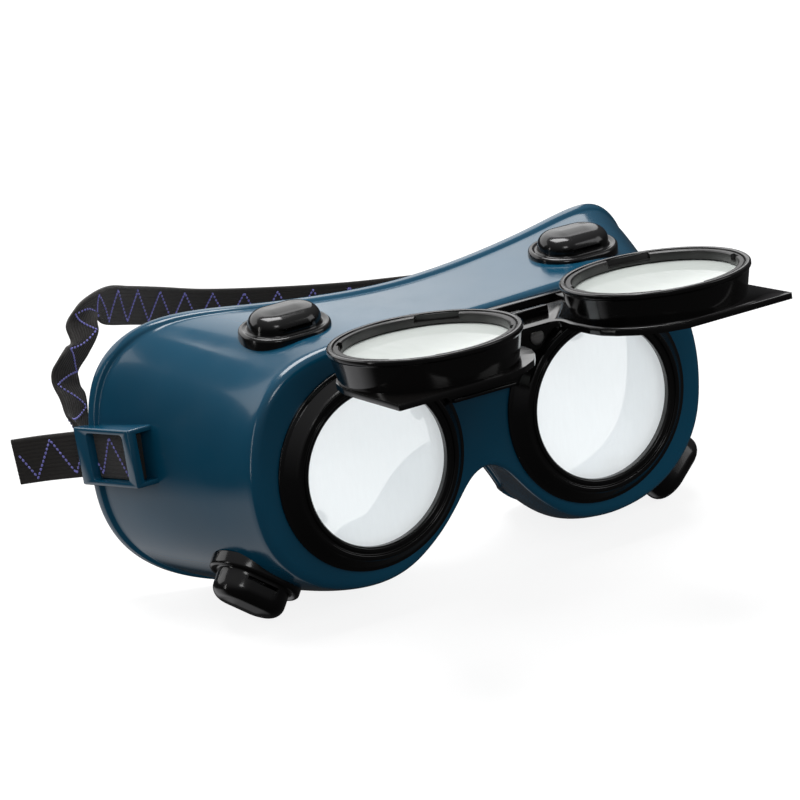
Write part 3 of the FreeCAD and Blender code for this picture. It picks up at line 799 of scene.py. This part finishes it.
for nm, s in SIDES:
    lens("clear_disc_" + nm, s * LX, 2.1, 4.1, WORN, "goggle", "clear_lens_" + nm, LENS_CLEAR)
    lens("filter_disc_" + nm, s * LX, -12.6, -9.6, FLIP, "flip", "filter_lens_" + nm, LENS_FILTER)

# rings behind the clear lenses, with two tabs each
TABS = {"left": 32.0, "right": 100.0}
for nm, s in SIDES:
    x = s * LX
    r = revolve("lr", rounded([(23.4, 4.5), (25.07, 4.5), (25.07, 9.6), (23.4, 9.6)], 0.25, 3), x, n=192)
    for k in (0, 180):
        M = WORN @ Matrix.Translation((x, 0, 0)) @ Matrix.Rotation(-math.radians(TABS[nm] + k), 4, 'Y')
        t = prism("t", rounded([(19.6, -2.2), (24.2, -2.2), (24.2, 2.2), (19.6, 2.2)], [1.2, 0, 0, 1.2], 5), 4.5, 5.9, 'Y', M, 0.25, 2)
        boolean(r, t, 'UNION')
    for k in range(4):
        a = math.radians(TABS[nm] + 45 + 90 * k)
        g = revolve("g", [(0, 8.2), (1.6, 8.2), (1.6, 12), (0, 12)], x + 24.6 * math.cos(a), 24.6 * math.sin(a), 32, closed=False)
        boolean(r, g, 'DIFFERENCE')
    tidy(r)
    r.name = "lens_ring_%s_visual" % nm
    finish_piece(r, BLACK2, "lens_ring_" + nm, ["lens_ring_" + nm])

# ----------------------------------------------------------- hinge bracket
br = [(-30, 36.4), (30, 36.4), (30, 31.2), (26.0, 28.4), (20.6, 21.6), (18.5, 20.8), (-18.5, 20.8), (-20.6, 21.6), (-26.0, 28.4), (-30, 31.2)]
b = prism("b", rounded(br, 0.8), 0.6, 1.8, 'Y', WORN, 0.25)
boolean(b, rbox("k", -30, 30, 0.6, 3.9, 34.9, 36.4, 0.35), 'UNION')
for nm, s in SIDES:
    x0, x1 = sorted((s * 27.0, s * 30.0))
    lug = [(HY + 3.9 * math.cos(t), HZ + 3.9 * math.sin(t)) for t in np.linspace(math.radians(95), math.radians(265), 24)]
    lug = lug + [(1.2, HZ - 3.4), (1.2, 36.4), (0.65, 36.4), (0.65, HZ + 3.9)]
    boolean(b, prism("l", lug, x0, x1, 'X', WORN, 0.25), 'UNION')
for nm, s in SIDES:
    x0, x1 = sorted((s * 26.0, s * 31.0))
    boolean(b, revolve("c", [(0, x0), (1.26, x0), (1.26, x1), (0, x1)], HY, HZ, 48, axis='X', closed=False), 'DIFFERENCE')
tidy(b)
b.name = "hinge_bracket_visual"
finish_piece(b, BLACK, "goggle", ["hinge_bracket"])

for nm, s in SIDES:
    prof = rounded([(0, 3.2), (1.2, 3.2), (1.2, 0.6), (2.3, 0.6), (2.3, 0.1), (1.6, -0.45), (0.0, -0.52)], [0, .1, 0, .1, .3, .5, 0], 4, closed=False)
    o = revolve("rivet_" + nm, prof, s * 19.0, 24.8, 64, closed=False)
    finish_piece(o, STEEL, "goggle", ["bracket_rivet_" + nm])
prof = rounded([(0, -30.9), (2.1, -30.9), (2.1, -30.0), (1.25, -30.0), (1.25, 30.0), (2.1, 30.0), (2.1, 30.9), (0, 30.9)], [0, .35, .15, 0, 0, .15, .35, 0], 4, closed=False)
o = revolve("hinge_pin_visual", prof, HY, HZ, 64, axis='X', closed=False)
finish_piece(o, STEEL, "goggle", ["hinge_pin"])
o = rbox("leaf_spring", -14, 14, 0.1, 0.6, 28.6, 34.2, 0.12)
finish_piece(o, STEEL, "goggle", ["hinge_spring"])

# --------------------------------------------------------------- flip frame
half = [(12.0, 12.0), (11.0, 4), (11.0, -6), (11.6, -10.5), (13.6, -15.4), (17.8, -21.4), (23.6, -25.6), (30, -28.0),
        (66.0, -28.0), (65.6, -14), (65.3, -4), (64.9, 4), (63.0, 11), (58, 18.4), (52, 23), (44, 26), (36, 27.4),
        (26.1, 27.4), (26.1, 31.0)]
rad = [3, 4, 4, 4, 5, 6, 6, 6, 0.5, 8, 8, 8, 8, 8, 8, 8, 5, 0.6, 0.5]
outl = half + [(-x, z) for x, z in half[::-1]]
outl = rounded(outl, rad + rad[::-1], 6)
holes = [circle(s * LX, 0, 24.2, 160) for nm, s in SIDES]
fl = prism("plate", outl, -6.4, -4.6, 'Y', FLIP, 0.0, 3, holes)
bevel(fl, 0.3, 3, 40)
cup = [(23.0, -4.6), (25.3, -4.6), (25.5, -6.4), (27.0, -14.0), (27.6, -14.6), (27.6, -15.6), (27.2, -16.0), (26.05, -16.0),
       (25.95, -15.7), (25.95, -12.7), (25.15, -12.7), (25.15, -9.1), (23.0, -9.1)]
cr = [.2, .2, .3, .6, .3, .3, .25, .2, .1, .1, .1, .1, .25]
for nm, s in SIDES:
    boolean(fl, revolve("cup", rounded(cup, cr, 4), s * LX, n=256, M=FLIP), 'UNION')
boolean(fl, revolve("kn", rounded([(0, -26.6), (3.0, -26.6), (3.0, 26.6), (0, 26.6)], [0, .35, .35, 0], 4, closed=False), HY, HZ, 64, FLIP, 'X', closed=False), 'UNION')
boolean(fl, rbox("web", -26.1, 26.1, -6.4, -4.6, 27.0, 31.5, 0.25, FLIP), 'UNION')
boolean(fl, rbox("bar", -15, 15, -9.0, -6.2, 21.0, 23.2, 0.4, FLIP), 'UNION')
boolean(fl, revolve("c", [(0, -40), (1.31, -40), (1.31, 40), (0, 40)], HY, HZ, 48, FLIP, 'X', closed=False), 'DIFFERENCE')
tidy(fl, 35)
fl.name = "flip_frame_visual"
finish_piece(fl, BLACK, "flip", ["flip_frame"])

NOTCH = {"left": 50.0, "right": 75.0}
for nm, s in SIDES:
    x = s * LX
    prof = rounded([(23.9, -13.0), (25.87, -13.0), (25.87, -15.5), (25.5, -15.7), (24.3, -15.7), (23.9, -15.4)], [.1, .1, .15, .15, .15, .15], 3)
    r = revolve("fr", prof, x, n=256, M=FLIP)
    for k, w in ((0, 13.0), (180, 13.0), (90, 4.0), (270, 4.0)):
        M = FLIP @ Matrix.Translation((x, 0, 0)) @ Matrix.Rotation(-math.radians(NOTCH[nm] + k), 4, 'Y')
        boolean(r, prism("n", [(22.0, -w / 2), (24.95, -w / 2), (24.95, w / 2), (22.0, w / 2)], -17, -14.0, 'Y', M), 'DIFFERENCE')
    bevel(r, 0.08, 2, 50)
    tidy(r)
    r.name = "filter_ring_%s_visual" % nm
    finish_piece(r, BLACK2, "filter_ring_" + nm, ["filter_ring_" + nm])


# ------------------------------------------------------------------- vents
def stadium2(lx, ly, n=28):
    r = ly / 2.0
    a = max(lx / 2.0 - r, 0.0)
    pts = []
    for k in range(n + 1):
        t = -math.pi / 2 + math.pi * k / n
        pts.append((a + r * math.cos(t), r * math.sin(t)))
    for k in range(n + 1):
        t = math.pi / 2 + math.pi * k / n
        pts.append((-a + r * math.cos(t), r * math.sin(t)))
    return pts


def vent_cap(name, h, M, low=None):
    """domed cap: flange with a raised lip, a waisted wall and a crowned top."""
    prof = [(0.5, -3.0), (0.0, -2.6), (0.0, 0.4), (0.12, 0.9), (0.5, 1.3), (0.95, 1.42), (1.4, 1.3), (1.9, 1.02), (2.3, 0.95),
            (2.62, 1.1), (2.75, 1.5)]
    prof += [q for q in ((2.8, 2.4), (2.78, 3.6)) if q[1] < h - 4.9] + [(2.82, h - 4.6)]
    for k in range(1, 9):
        t = math.pi / 2 * k / 8
        prof.append((2.82 + 3.9 * (1 - math.cos(t)), h - 4.6 + 3.85 * math.sin(t)))
    for ins, dz in ((7.6, .10), (8.7, .22), (9.6, .30), (10.3, .34)):
        prof.append((ins, h - 0.75 + dz * 1.3))
    verts, faces = [], []
    m = 58
    for ins, z in prof:
        lx, ly = 28.0 - 2 * ins, 21.0 - 2 * ins
        ly = max(ly, 0.25)
        verts += [(x, y, z) for x, y in stadium2(max(lx, ly + 7.0), ly)]
    for r in range(len(prof) - 1):
        for c in range(m):
            a, b2 = r * m + c, r * m + (c + 1) % m
            faces.append((a, b2, b2 + m, a + m))
    faces.append(tuple(range((len(prof) - 1) * m, len(prof) * m)))
    # underside: straight down into the shell wall, closed by the cavity
    cav = [(3.6, -3.0), (3.7, -1.0), (3.8, h - 6.0), (4.6, h - 4.4), (6.2, h - 3.6)]
    start = len(verts)
    for ins, z in cav:
        lx, ly = 28.0 - 2 * ins, 21.0 - 2 * ins
        verts += [(x, y, z) for x, y in stadium2(lx, ly)]
    for c in range(m):
        a, b2 = c, (c + 1) % m
        faces.append((a, b2, start + b2, start + a))
    for r in range(len(cav) - 1):
        for c in range(m):
            a, b2 = start + r * m + c, start + r * m + (c + 1) % m
            faces.append((a, b2, b2 + m, a + m))
    faces.append(tuple(range(start + (len(cav) - 1) * m, start + len(cav) * m)))
    ob = new_obj(name, verts, faces, M, 48)
    for t in (-1, 1):
        y0, y1 = sorted((t * 6.0, t * 12.0))
        boolean(ob, prism("s", rounded([(-5, y0), (5, y0), (5, y1), (-5, y1)], 0.4), 2.1, 3.2, 'Z', M), 'DIFFERENCE')
    return ob


floor_cut = None
for (lvl, nm), M in VF.items():
    o = vent_cap("vent_%s_%s" % (lvl, nm), 7.0 if lvl == "top" else 10.0, M)
    if lvl == "bottom":
        c = prism("f", [(-.4, -.4), (.4, -.4), (.4, .4), (-.4, .4)], -0.3, 0.0, 'Z', Matrix.Identity(4))
        boolean(o, c, 'DIFFERENCE')
    tidy(o, 48)
    finish_piece(o, BLACK, "goggle", ["vent_cap_%s_%s" % (lvl, nm)])

# carried-over CAD nodes get a finish of their own
for n_, ob in frame["nodes"].items():
    if n_.startswith("vent_base"):
        m_ = BLACK2
    elif n_.startswith("lens_gasket"):
        m_ = RUBBER
    elif n_.startswith("filter_washer"):
        m_ = FIBRE
    else:
        continue
    ob.data.materials.clear()
    ob.data.materials.append(m_)
    v = ob.modifiers.new("soft_edges", 'BEVEL')
    v.width, v.segments, v.limit_method, v.angle_limit = 0.00012, 2, 'ANGLE', math.radians(40)

# ------------------------------------------------------------------- strap
ROUTE = [
    ((-91.66, 43.5, 8.65), (0, 0, 1)), ((-92.81, 52.0, 7.7), (0, 0, 1)), ((-93.90, 60.0, 6.8), (0, 0, 1)),
    ((-95.12, 69.0, 5.8), (0, 0, 1)), ((-95.3, 72.8, 6.0), (-0.04, -0.08, 1)),
    ((-94.6, 76.6, 8.6), (-0.32, -0.32, 0.88)), ((-93.2, 79.6, 12.6), (-0.66, -0.48, 0.55)),
    ((-92.1,  82.5,  19.7), (-0.83, -0.51,  0.22)),
    ((-92.6,  84.5,  23.4), (-0.82, -0.41,  0.39)),
    ((-92.1,  85.0,  26.1), (-0.77, -0.45,  0.45)),
    ((-90.9,  85.5,  27.8), (-0.66, -0.54,  0.53)),
    ((-86.0,  87.7,  31.3), (-0.75, -0.53,  0.39)),
    ((-81.8,  90.0,  34.3), (-0.88, -0.46,  0.08)),
    ((-81.5,  91.5,  37.6), (-0.91, -0.37,  0.18)),
    ((-78.1,  94.3,  40.4), (-0.76, -0.54,  0.36)),
    ((-72.7,  99.1,  39.1), (-0.39, -0.50,  0.78)),
    ((-64.8, 106.0,  36.9), (-0.04, -0.34,  0.94)),
    ((-53.5, 114.0,  32.9), (-0.04, -0.33,  0.94)),
    ((-39.4, 122.0,  28.0), (-0.05, -0.35,  0.94)),
    ((-22.1, 129.0,  22.3), (-0.09, -0.39,  0.92)),
    ((4.0, 132.8, 15.5), (-0.04, -0.28, 0.96)), ((32.0, 130.8, 10.5), (-0.02, -0.18, 0.98)),
    ((58.0, 124.0, 8.0), (0, -0.1, 0.99)), ((78.0, 111.5, 6.8), (0, -0.05, 1)), ((90.0, 96.0, 6.1), (0, 0, 1)),
    ((95.2, 82.0, 5.5), (0, 0, 1)), ((95.6, 74.0, 5.5), (0, 0, 1)), ((95.12, 69.0, 5.8), (0, 0, 1)),
    ((93.90, 60.0, 6.8), (0, 0, 1)), ((92.81, 52.0, 7.7), (0, 0, 1)), ((91.66, 43.5, 8.65), (0, 0, 1))]


def follow(route, n):
    """smooth curves through the stations' centres and width directions: n+1 samples with frames."""
    P = np.array([q for q, h in route], float)
    H = np.array([h for q, h in route], float)
    H /= np.linalg.norm(H, axis=1)[:, None]
    t = np.concatenate([[0], np.cumsum(np.linalg.norm(np.diff(P, axis=0), axis=1))])

    def slopes(Q):
        m = np.zeros_like(Q)
        m[0], m[-1] = (Q[1] - Q[0]) / (t[1] - t[0]), (Q[-1] - Q[-2]) / (t[-1] - t[-2])
        a_, b_ = (t[1:-1] - t[:-2])[:, None], (t[2:] - t[1:-1])[:, None]
        m[1:-1] = (Q[1:-1] - Q[:-2]) * b_ / (a_ * (a_ + b_)) + (Q[2:] - Q[1:-1]) * a_ / (b_ * (a_ + b_))
        return m
    mP, mH = slopes(P), slopes(H)

    def ev(Q, m, u):
        i = np.clip(np.searchsorted(t, u, side='right') - 1, 0, len(t) - 2)
        h = (t[i + 1] - t[i])[:, None]
        s_ = ((u - t[i]) / (t[i + 1] - t[i]))[:, None]
        return Q[i] * (1 + 2 * s_) * (1 - s_)**2 + m[i] * h * s_ * (1 - s_)**2 + Q[i + 1] * s_ * s_ * (3 - 2 * s_) + m[i + 1] * h * s_ * s_ * (s_ - 1)
    u = np.linspace(0, t[-1], n + 1)
    pts_ = ev(P, mP, u)
    tan = ev(P, mP, np.minimum(u + 0.4, t[-1])) - ev(P, mP, np.maximum(u - 0.4, 0))
    tan /= np.linalg.norm(tan, axis=1)[:, None]
    e1 = ev(H, mH, u)
    e1 /= np.linalg.norm(e1, axis=1)[:, None]
    e2 = np.cross(tan, e1)
    e2 /= np.linalg.norm(e2, axis=1)[:, None]
    return pts_, tan, e1, e2, t[-1]


def catmull(pts, n):
    """cubic spline through points by chord length, n+1 even samples by length, with tangents."""
    P = np.array(pts, float)
    m = len(P)
    d = np.linalg.norm(np.diff(P, axis=0), axis=1)
    t = np.concatenate([[0], np.cumsum(d)])
    A = np.zeros((m, m))
    B = np.zeros((m, 3))
    A[0, 0] = A[-1, -1] = 1
    for i in range(1, m - 1):
        A[i, i - 1], A[i, i], A[i, i + 1] = d[i - 1], 2 * (d[i - 1] + d[i]), d[i]
        B[i] = 6 * ((P[i + 1] - P[i]) / d[i] - (P[i] - P[i - 1]) / d[i - 1])
    Mm = np.linalg.solve(A, B)

    def ev(u):
        k = np.clip(np.searchsorted(t, u, side='right') - 1, 0, m - 2)
        a, b_, h = (t[k + 1] - u)[:, None], (u - t[k])[:, None], d[k][:, None]
        return Mm[k] * a**3 / (6 * h) + Mm[k + 1] * b_**3 / (6 * h) + (P[k] / h - Mm[k] * h / 6) * a + (P[k + 1] / h - Mm[k + 1] * h / 6) * b_
    uu = np.linspace(0, t[-1], 4000)
    q = ev(uu)
    L = np.concatenate([[0], np.cumsum(np.linalg.norm(np.diff(q, axis=0), axis=1))])
    w = np.interp(np.linspace(0, L[-1], n + 1), L, uu)
    pts_ = ev(w)
    tan = ev(np.minimum(w + 1e-3 * t[-1], t[-1])) - ev(np.maximum(w - 1e-3 * t[-1], 0))
    tan /= np.linalg.norm(tan, axis=1)[:, None]
    return pts_, tan, L[-1]


W, T = 14.0, 1.3


def ribbon_frames(pts, tan, twist):
    n = len(pts)
    side = np.stack([tan[:, 1], -tan[:, 0], np.zeros(n)], 1)
    side /= np.linalg.norm(side, axis=1)[:, None]
    up = np.cross(side, tan)
    up *= np.where(up[:, 2:3] < 0, -1, 1)
    ca, sa = np.cos(twist)[:, None], np.sin(twist)[:, None]
    return up * ca + side * sa, side * ca - up * sa


def ribbon(name, pts, e1, e2, length, taper=True):
    """ribbed elastic: a scalloped cross-section swept along the route."""
    ribs, per = 11, 5
    cs = []
    hw = W / 2 - 0.35
    for k in range(ribs * per + 1):
        x = -hw + 2 * hw * k / (ribs * per)
        cs.append((x, T / 2 - 0.17 * (1 - abs(math.sin(math.pi * k / per)))))
    for k in range(1, 6):
        a = math.pi / 2 - math.pi * k / 6
        cs.append((hw + 0.35 * math.cos(a), (T / 2 - 0.17) * math.sin(a)))
    for k in range(ribs * per + 1):
        x = hw - 2 * hw * k / (ribs * per)
        cs.append((x, -T / 2 + 0.17 * (1 - abs(math.sin(math.pi * k / per)))))
    for k in range(1, 6):
        a = -math.pi / 2 - math.pi * k / 6
        cs.append((-hw + 0.35 * math.cos(a), (T / 2 - 0.17) * math.sin(a)))
    cs = np.array(cs)
    m, n = len(cs), len(pts)
    verts = (pts[:, None, :] + cs[None, :, 0, None] * e1[:, None, :] + cs[None, :, 1, None] * e2[:, None, :]).reshape(-1, 3)
    faces = []
    for i in range(n - 1):
        for k in range(m):
            a, b_ = i * m + k, i * m + (k + 1) % m
            faces.append((a, b_, b_ + m, a + m))
    faces.append(tuple(range(m)))
    faces.append(tuple(range((n - 1) * m, n * m)))
    me = bpy.data.meshes.new(name)
    me.from_pydata([tuple(v) for v in verts], [], faces)
    uv = me.uv_layers.new(name="UVMap")
    vi = np.zeros(len(me.loops), np.int32)
    me.loops.foreach_get("vertex_index", vi)
    u = (vi // m) / (n - 1) * length * 1.1
    v_ = cs[vi % m, 0] / W
    uv.data.foreach_set("uv", np.stack([u, v_], 1).astype(np.float32).ravel())
    ob = bpy.data.objects.new(name, me)
    bpy.context.scene.collection.objects.link(ob)
    bm = bmesh.new()
    bm.from_mesh(me)
    bmesh.ops.recalc_face_normals(bm, faces=bm.faces)
    bm.to_mesh(me)
    bm.free()
    me.transform(WORN)
    me.shade_smooth()
    me.set_sharp_from_angle(angle=math.radians(60))
    return ob


def stitches(name, pts, tan, e1, e2, length, period=12.6, dot=1.36, phase=0.0):
    """zigzag lockstitch on both faces, each stitch a short raised thread."""
    n = len(pts)
    verts, faces = [], []
    amp = W / 2 - 1.5
    leg = math.hypot(period / 2, 2 * amp)
    step = dot * (period / 2) / leg
    x = 1.2
    tris = []
    while x < length - 1.2:
        ph = ((x + phase) / period) % 1.0
        tri = 4 * abs(ph - 0.5) - 1.0
        v = amp * tri
        slope = (-1 if ph < 0.5 else 1) * 4 * amp / period
        fi = x / length * (n - 1)
        i = min(int(fi), n - 2)
        f = fi - i
        p = pts[i] * (1 - f) + pts[i + 1] * f
        a1 = e1[i] * (1 - f) + e1[i + 1] * f
        a2 = e2[i] * (1 - f) + e2[i + 1] * f
        tt = tan[i]
        d = tt + a1 * slope
        d /= np.linalg.norm(d)
        c_ = np.cross(d, a2)
        c_ /= np.linalg.norm(c_)
        for face in (1, -1):
            o_ = p + a1 * v + a2 * face * (T / 2 - 0.02)
            tris.append((o_, d, c_, a2 * face))
        x += step
    rings, seg = 6, 8
    for o_, d, c_, nn in tris:
        b0 = len(verts)
        for r in range(rings + 1):
            a = math.pi * r / rings
            for k in range(seg):
                q = 2 * math.pi * k / seg
                rr = math.sin(a)
                verts.append(o_ - d * 0.52 * math.cos(a) + c_ * 0.36 * rr * math.cos(q) + nn * 0.27 * rr * math.sin(q))
        for r in range(rings):
            for k in range(seg):
                a_, b_ = b0 + r * seg + k, b0 + r * seg + (k + 1) % seg
                faces.append((a_, b_, b_ + seg, a_ + seg))
    return new_obj(name, verts, faces, WORN, 0)


NS = 620
pts, tan, E1, E2, LEN = follow(ROUTE, NS)
st = ribbon("strap_webbing", pts, E1, E2, LEN)
finish_piece(st, WEB, "goggle", ["strap"])
sx = stitches("strap_stitching", pts, tan, E1, E2, LEN)
finish_piece(sx, THREAD, "goggle")

# the free end, turned back through the lug and standing out behind it
TAIL = [(-93.3, 46.0, 8.3), (-94.65, 56.0, 7.2), (-95.75, 64.0, 6.3), (-96.43, 69.0, 5.7), (-99.2, 74.0, 5.0),
        (-104.3, 80.4, 4.2), (-111.2, 86.9, 3.35)]
tp, tt_, TL = catmull(TAIL, 70)
te1, te2 = ribbon_frames(tp, tt_, np.zeros(71))
tl = ribbon("strap_tail", tp, te1, te2, TL)
finish_piece(tl, WEB, "goggle")
tx = stitches("tail_stitching", tp, tt_, te1, te2, TL, phase=3.0)
finish_piece(tx, THREAD, "goggle")

# ------------------------------------------------------------------- stage
def area(name, loc, target, size, size_y, power, col=(1, 1, 1), spread=180):
    d = bpy.data.lights.new(name, 'AREA')
    d.shape = 'RECTANGLE'
    d.size, d.size_y = size, size_y
    d.energy = power
    d.color = col
    d.spread = math.radians(spread)
    o = bpy.data.objects.new(name, d)
    o.location = loc
    o.rotation_euler = (Vector(target) - Vector(loc)).to_track_quat('-Z', 'Y').to_euler()
    bpy.context.scene.collection.objects.link(o)
    return o


fm, nt, p = mat_base("floor_white")
p.inputs["Roughness"].default_value = 0.9
p.inputs["Specular IOR Level"].default_value = 0.05
p.inputs["Base Color"].default_value = (0.24, 0.24, 0.24, 1)
p.inputs["Emission Color"].default_value = (1, 1, 1, 1)
p.inputs["Emission Strength"].default_value = 0.86
bpy.ops.mesh.primitive_circle_add(vertices=96, radius=6.0, fill_type='NGON', location=(0, 0, -0.0002))
floor = bpy.context.object
floor.name = "floor"
floor.data.materials.append(fm)
floor.visible_glossy = False
floor.visible_diffuse = False

area("top", (0.05, 0.35, 1.35), (0, 0.0, 0.03), 0.9, 0.7, 17)
area("left", (-1.35, 0.12, 0.16), (0, 0, 0.05), 0.10, 0.7, 0.9, (1.0, 0.99, 0.98))
area("right", (1.15, -0.9, 0.75), (0, 0, 0.05), 0.8, 0.8, 3.2)
area("front", (-0.5, -1.5, 1.15), (0, 0, 0.05), 0.5, 0.4, 2.8)
area("back", (-0.15, 1.5, 0.85), (0, 0, 0.05), 3.6, 1.2, 19)

wd = bpy.data.worlds.new("studio")
bpy.context.scene.world = wd
wd.use_nodes = True
nt = wd.node_tree
nt.nodes.clear()
out = nt.nodes.new("ShaderNodeOutputWorld")
lp = nt.nodes.new("ShaderNodeLightPath")
tc = nt.nodes.new("ShaderNodeTexCoord")
sz = nt.nodes.new("ShaderNodeSeparateXYZ")
nt.links.new(tc.outputs["Generated"], sz.inputs["Vector"])
gr = ramp(nt, maprange(nt, sz.outputs["Z"], -1, 1, 0, 1),
          [(0.0, (0.02, 0.02, 0.02)), (0.47, (0.04, 0.04, 0.042)), (0.60, (0.10, 0.10, 0.105)), (1.0, (0.38, 0.38, 0.39))])
side = node(nt, "ShaderNodeMath", operation='MULTIPLY')
nt.links.new(maprange(nt, sz.outputs["X"], 0.10, -0.25, 0, 1), side.inputs[0])
nt.links.new(maprange(nt, sz.outputs["Y"], 0.15, 0.50, 0, 1), side.inputs[1])
sweep = node(nt, "ShaderNodeMath", operation='MULTIPLY')
nt.links.new(maprange(nt, sz.outputs["Z"], -0.30, -0.42, 0, 1), sweep.inputs[0])
nt.links.new(side.outputs[0], sweep.inputs[1])
swc = ramp(nt, sweep.outputs[0], [(0.0, (0, 0, 0)), (1.0, (0.80, 0.80, 0.82))])
ad = nt.nodes.new("ShaderNodeMixRGB")
ad.blend_type = 'ADD'
ad.inputs[0].default_value = 1.0
nt.links.new(gr, ad.inputs[1])
nt.links.new(swc, ad.inputs[2])
gr = ad.outputs[0]
bd = nt.nodes.new("ShaderNodeBackground")
bd.inputs["Color"].default_value = (0.62, 0.63, 0.64, 1)
bd.inputs["Strength"].default_value = 0.42
bg = nt.nodes.new("ShaderNodeBackground")
nt.links.new(gr, bg.inputs["Color"])
b2 = nt.nodes.new("ShaderNodeBackground")
b2.inputs["Color"].default_value = (1, 1, 1, 1)
m1 = nt.nodes.new("ShaderNodeMixShader")
nt.links.new(lp.outputs["Is Glossy Ray"], m1.inputs["Fac"])
nt.links.new(bd.outputs[0], m1.inputs[1])
nt.links.new(bg.outputs[0], m1.inputs[2])
mx = nt.nodes.new("ShaderNodeMixShader")
nt.links.new(lp.outputs["Is Camera Ray"], mx.inputs["Fac"])
nt.links.new(m1.outputs[0], mx.inputs[1])
nt.links.new(b2.outputs[0], mx.inputs[2])
nt.links.new(mx.outputs[0], out.inputs["Surface"])
bpy.context.scene.view_settings.view_transform = 'Standard'
bpy.context.scene.view_settings.look = 'None'

# ------------------------------------------------------------------ camera
cam_d = bpy.data.cameras.new("camera")
cam = bpy.data.objects.new("camera", cam_d)
bpy.context.scene.collection.objects.link(cam)
cam_d.sensor_width = 36.0
cam_d.lens = 4743.902 / 800 * 36.0
cam_d.dof.use_dof = False
cam_d.clip_start, cam_d.clip_end = 0.05, 50
Rw = Matrix(((0.8447, 0.2415, -0.4776), (-0.5224, 0.1775, -0.834), (-0.1167, 0.954, 0.2761)))
lean = Matrix(((1, 0, 0), (0, C_, S_), (0, -S_, C_)))
R3 = (lean @ Rw)
q = R3.to_quaternion()
cam.rotation_mode = 'QUATERNION'
cam.rotation_quaternion = q
cam.location = WORN @ Vector((-677.474, -1131.840, 392.638))
bpy.context.scene.camera = cam
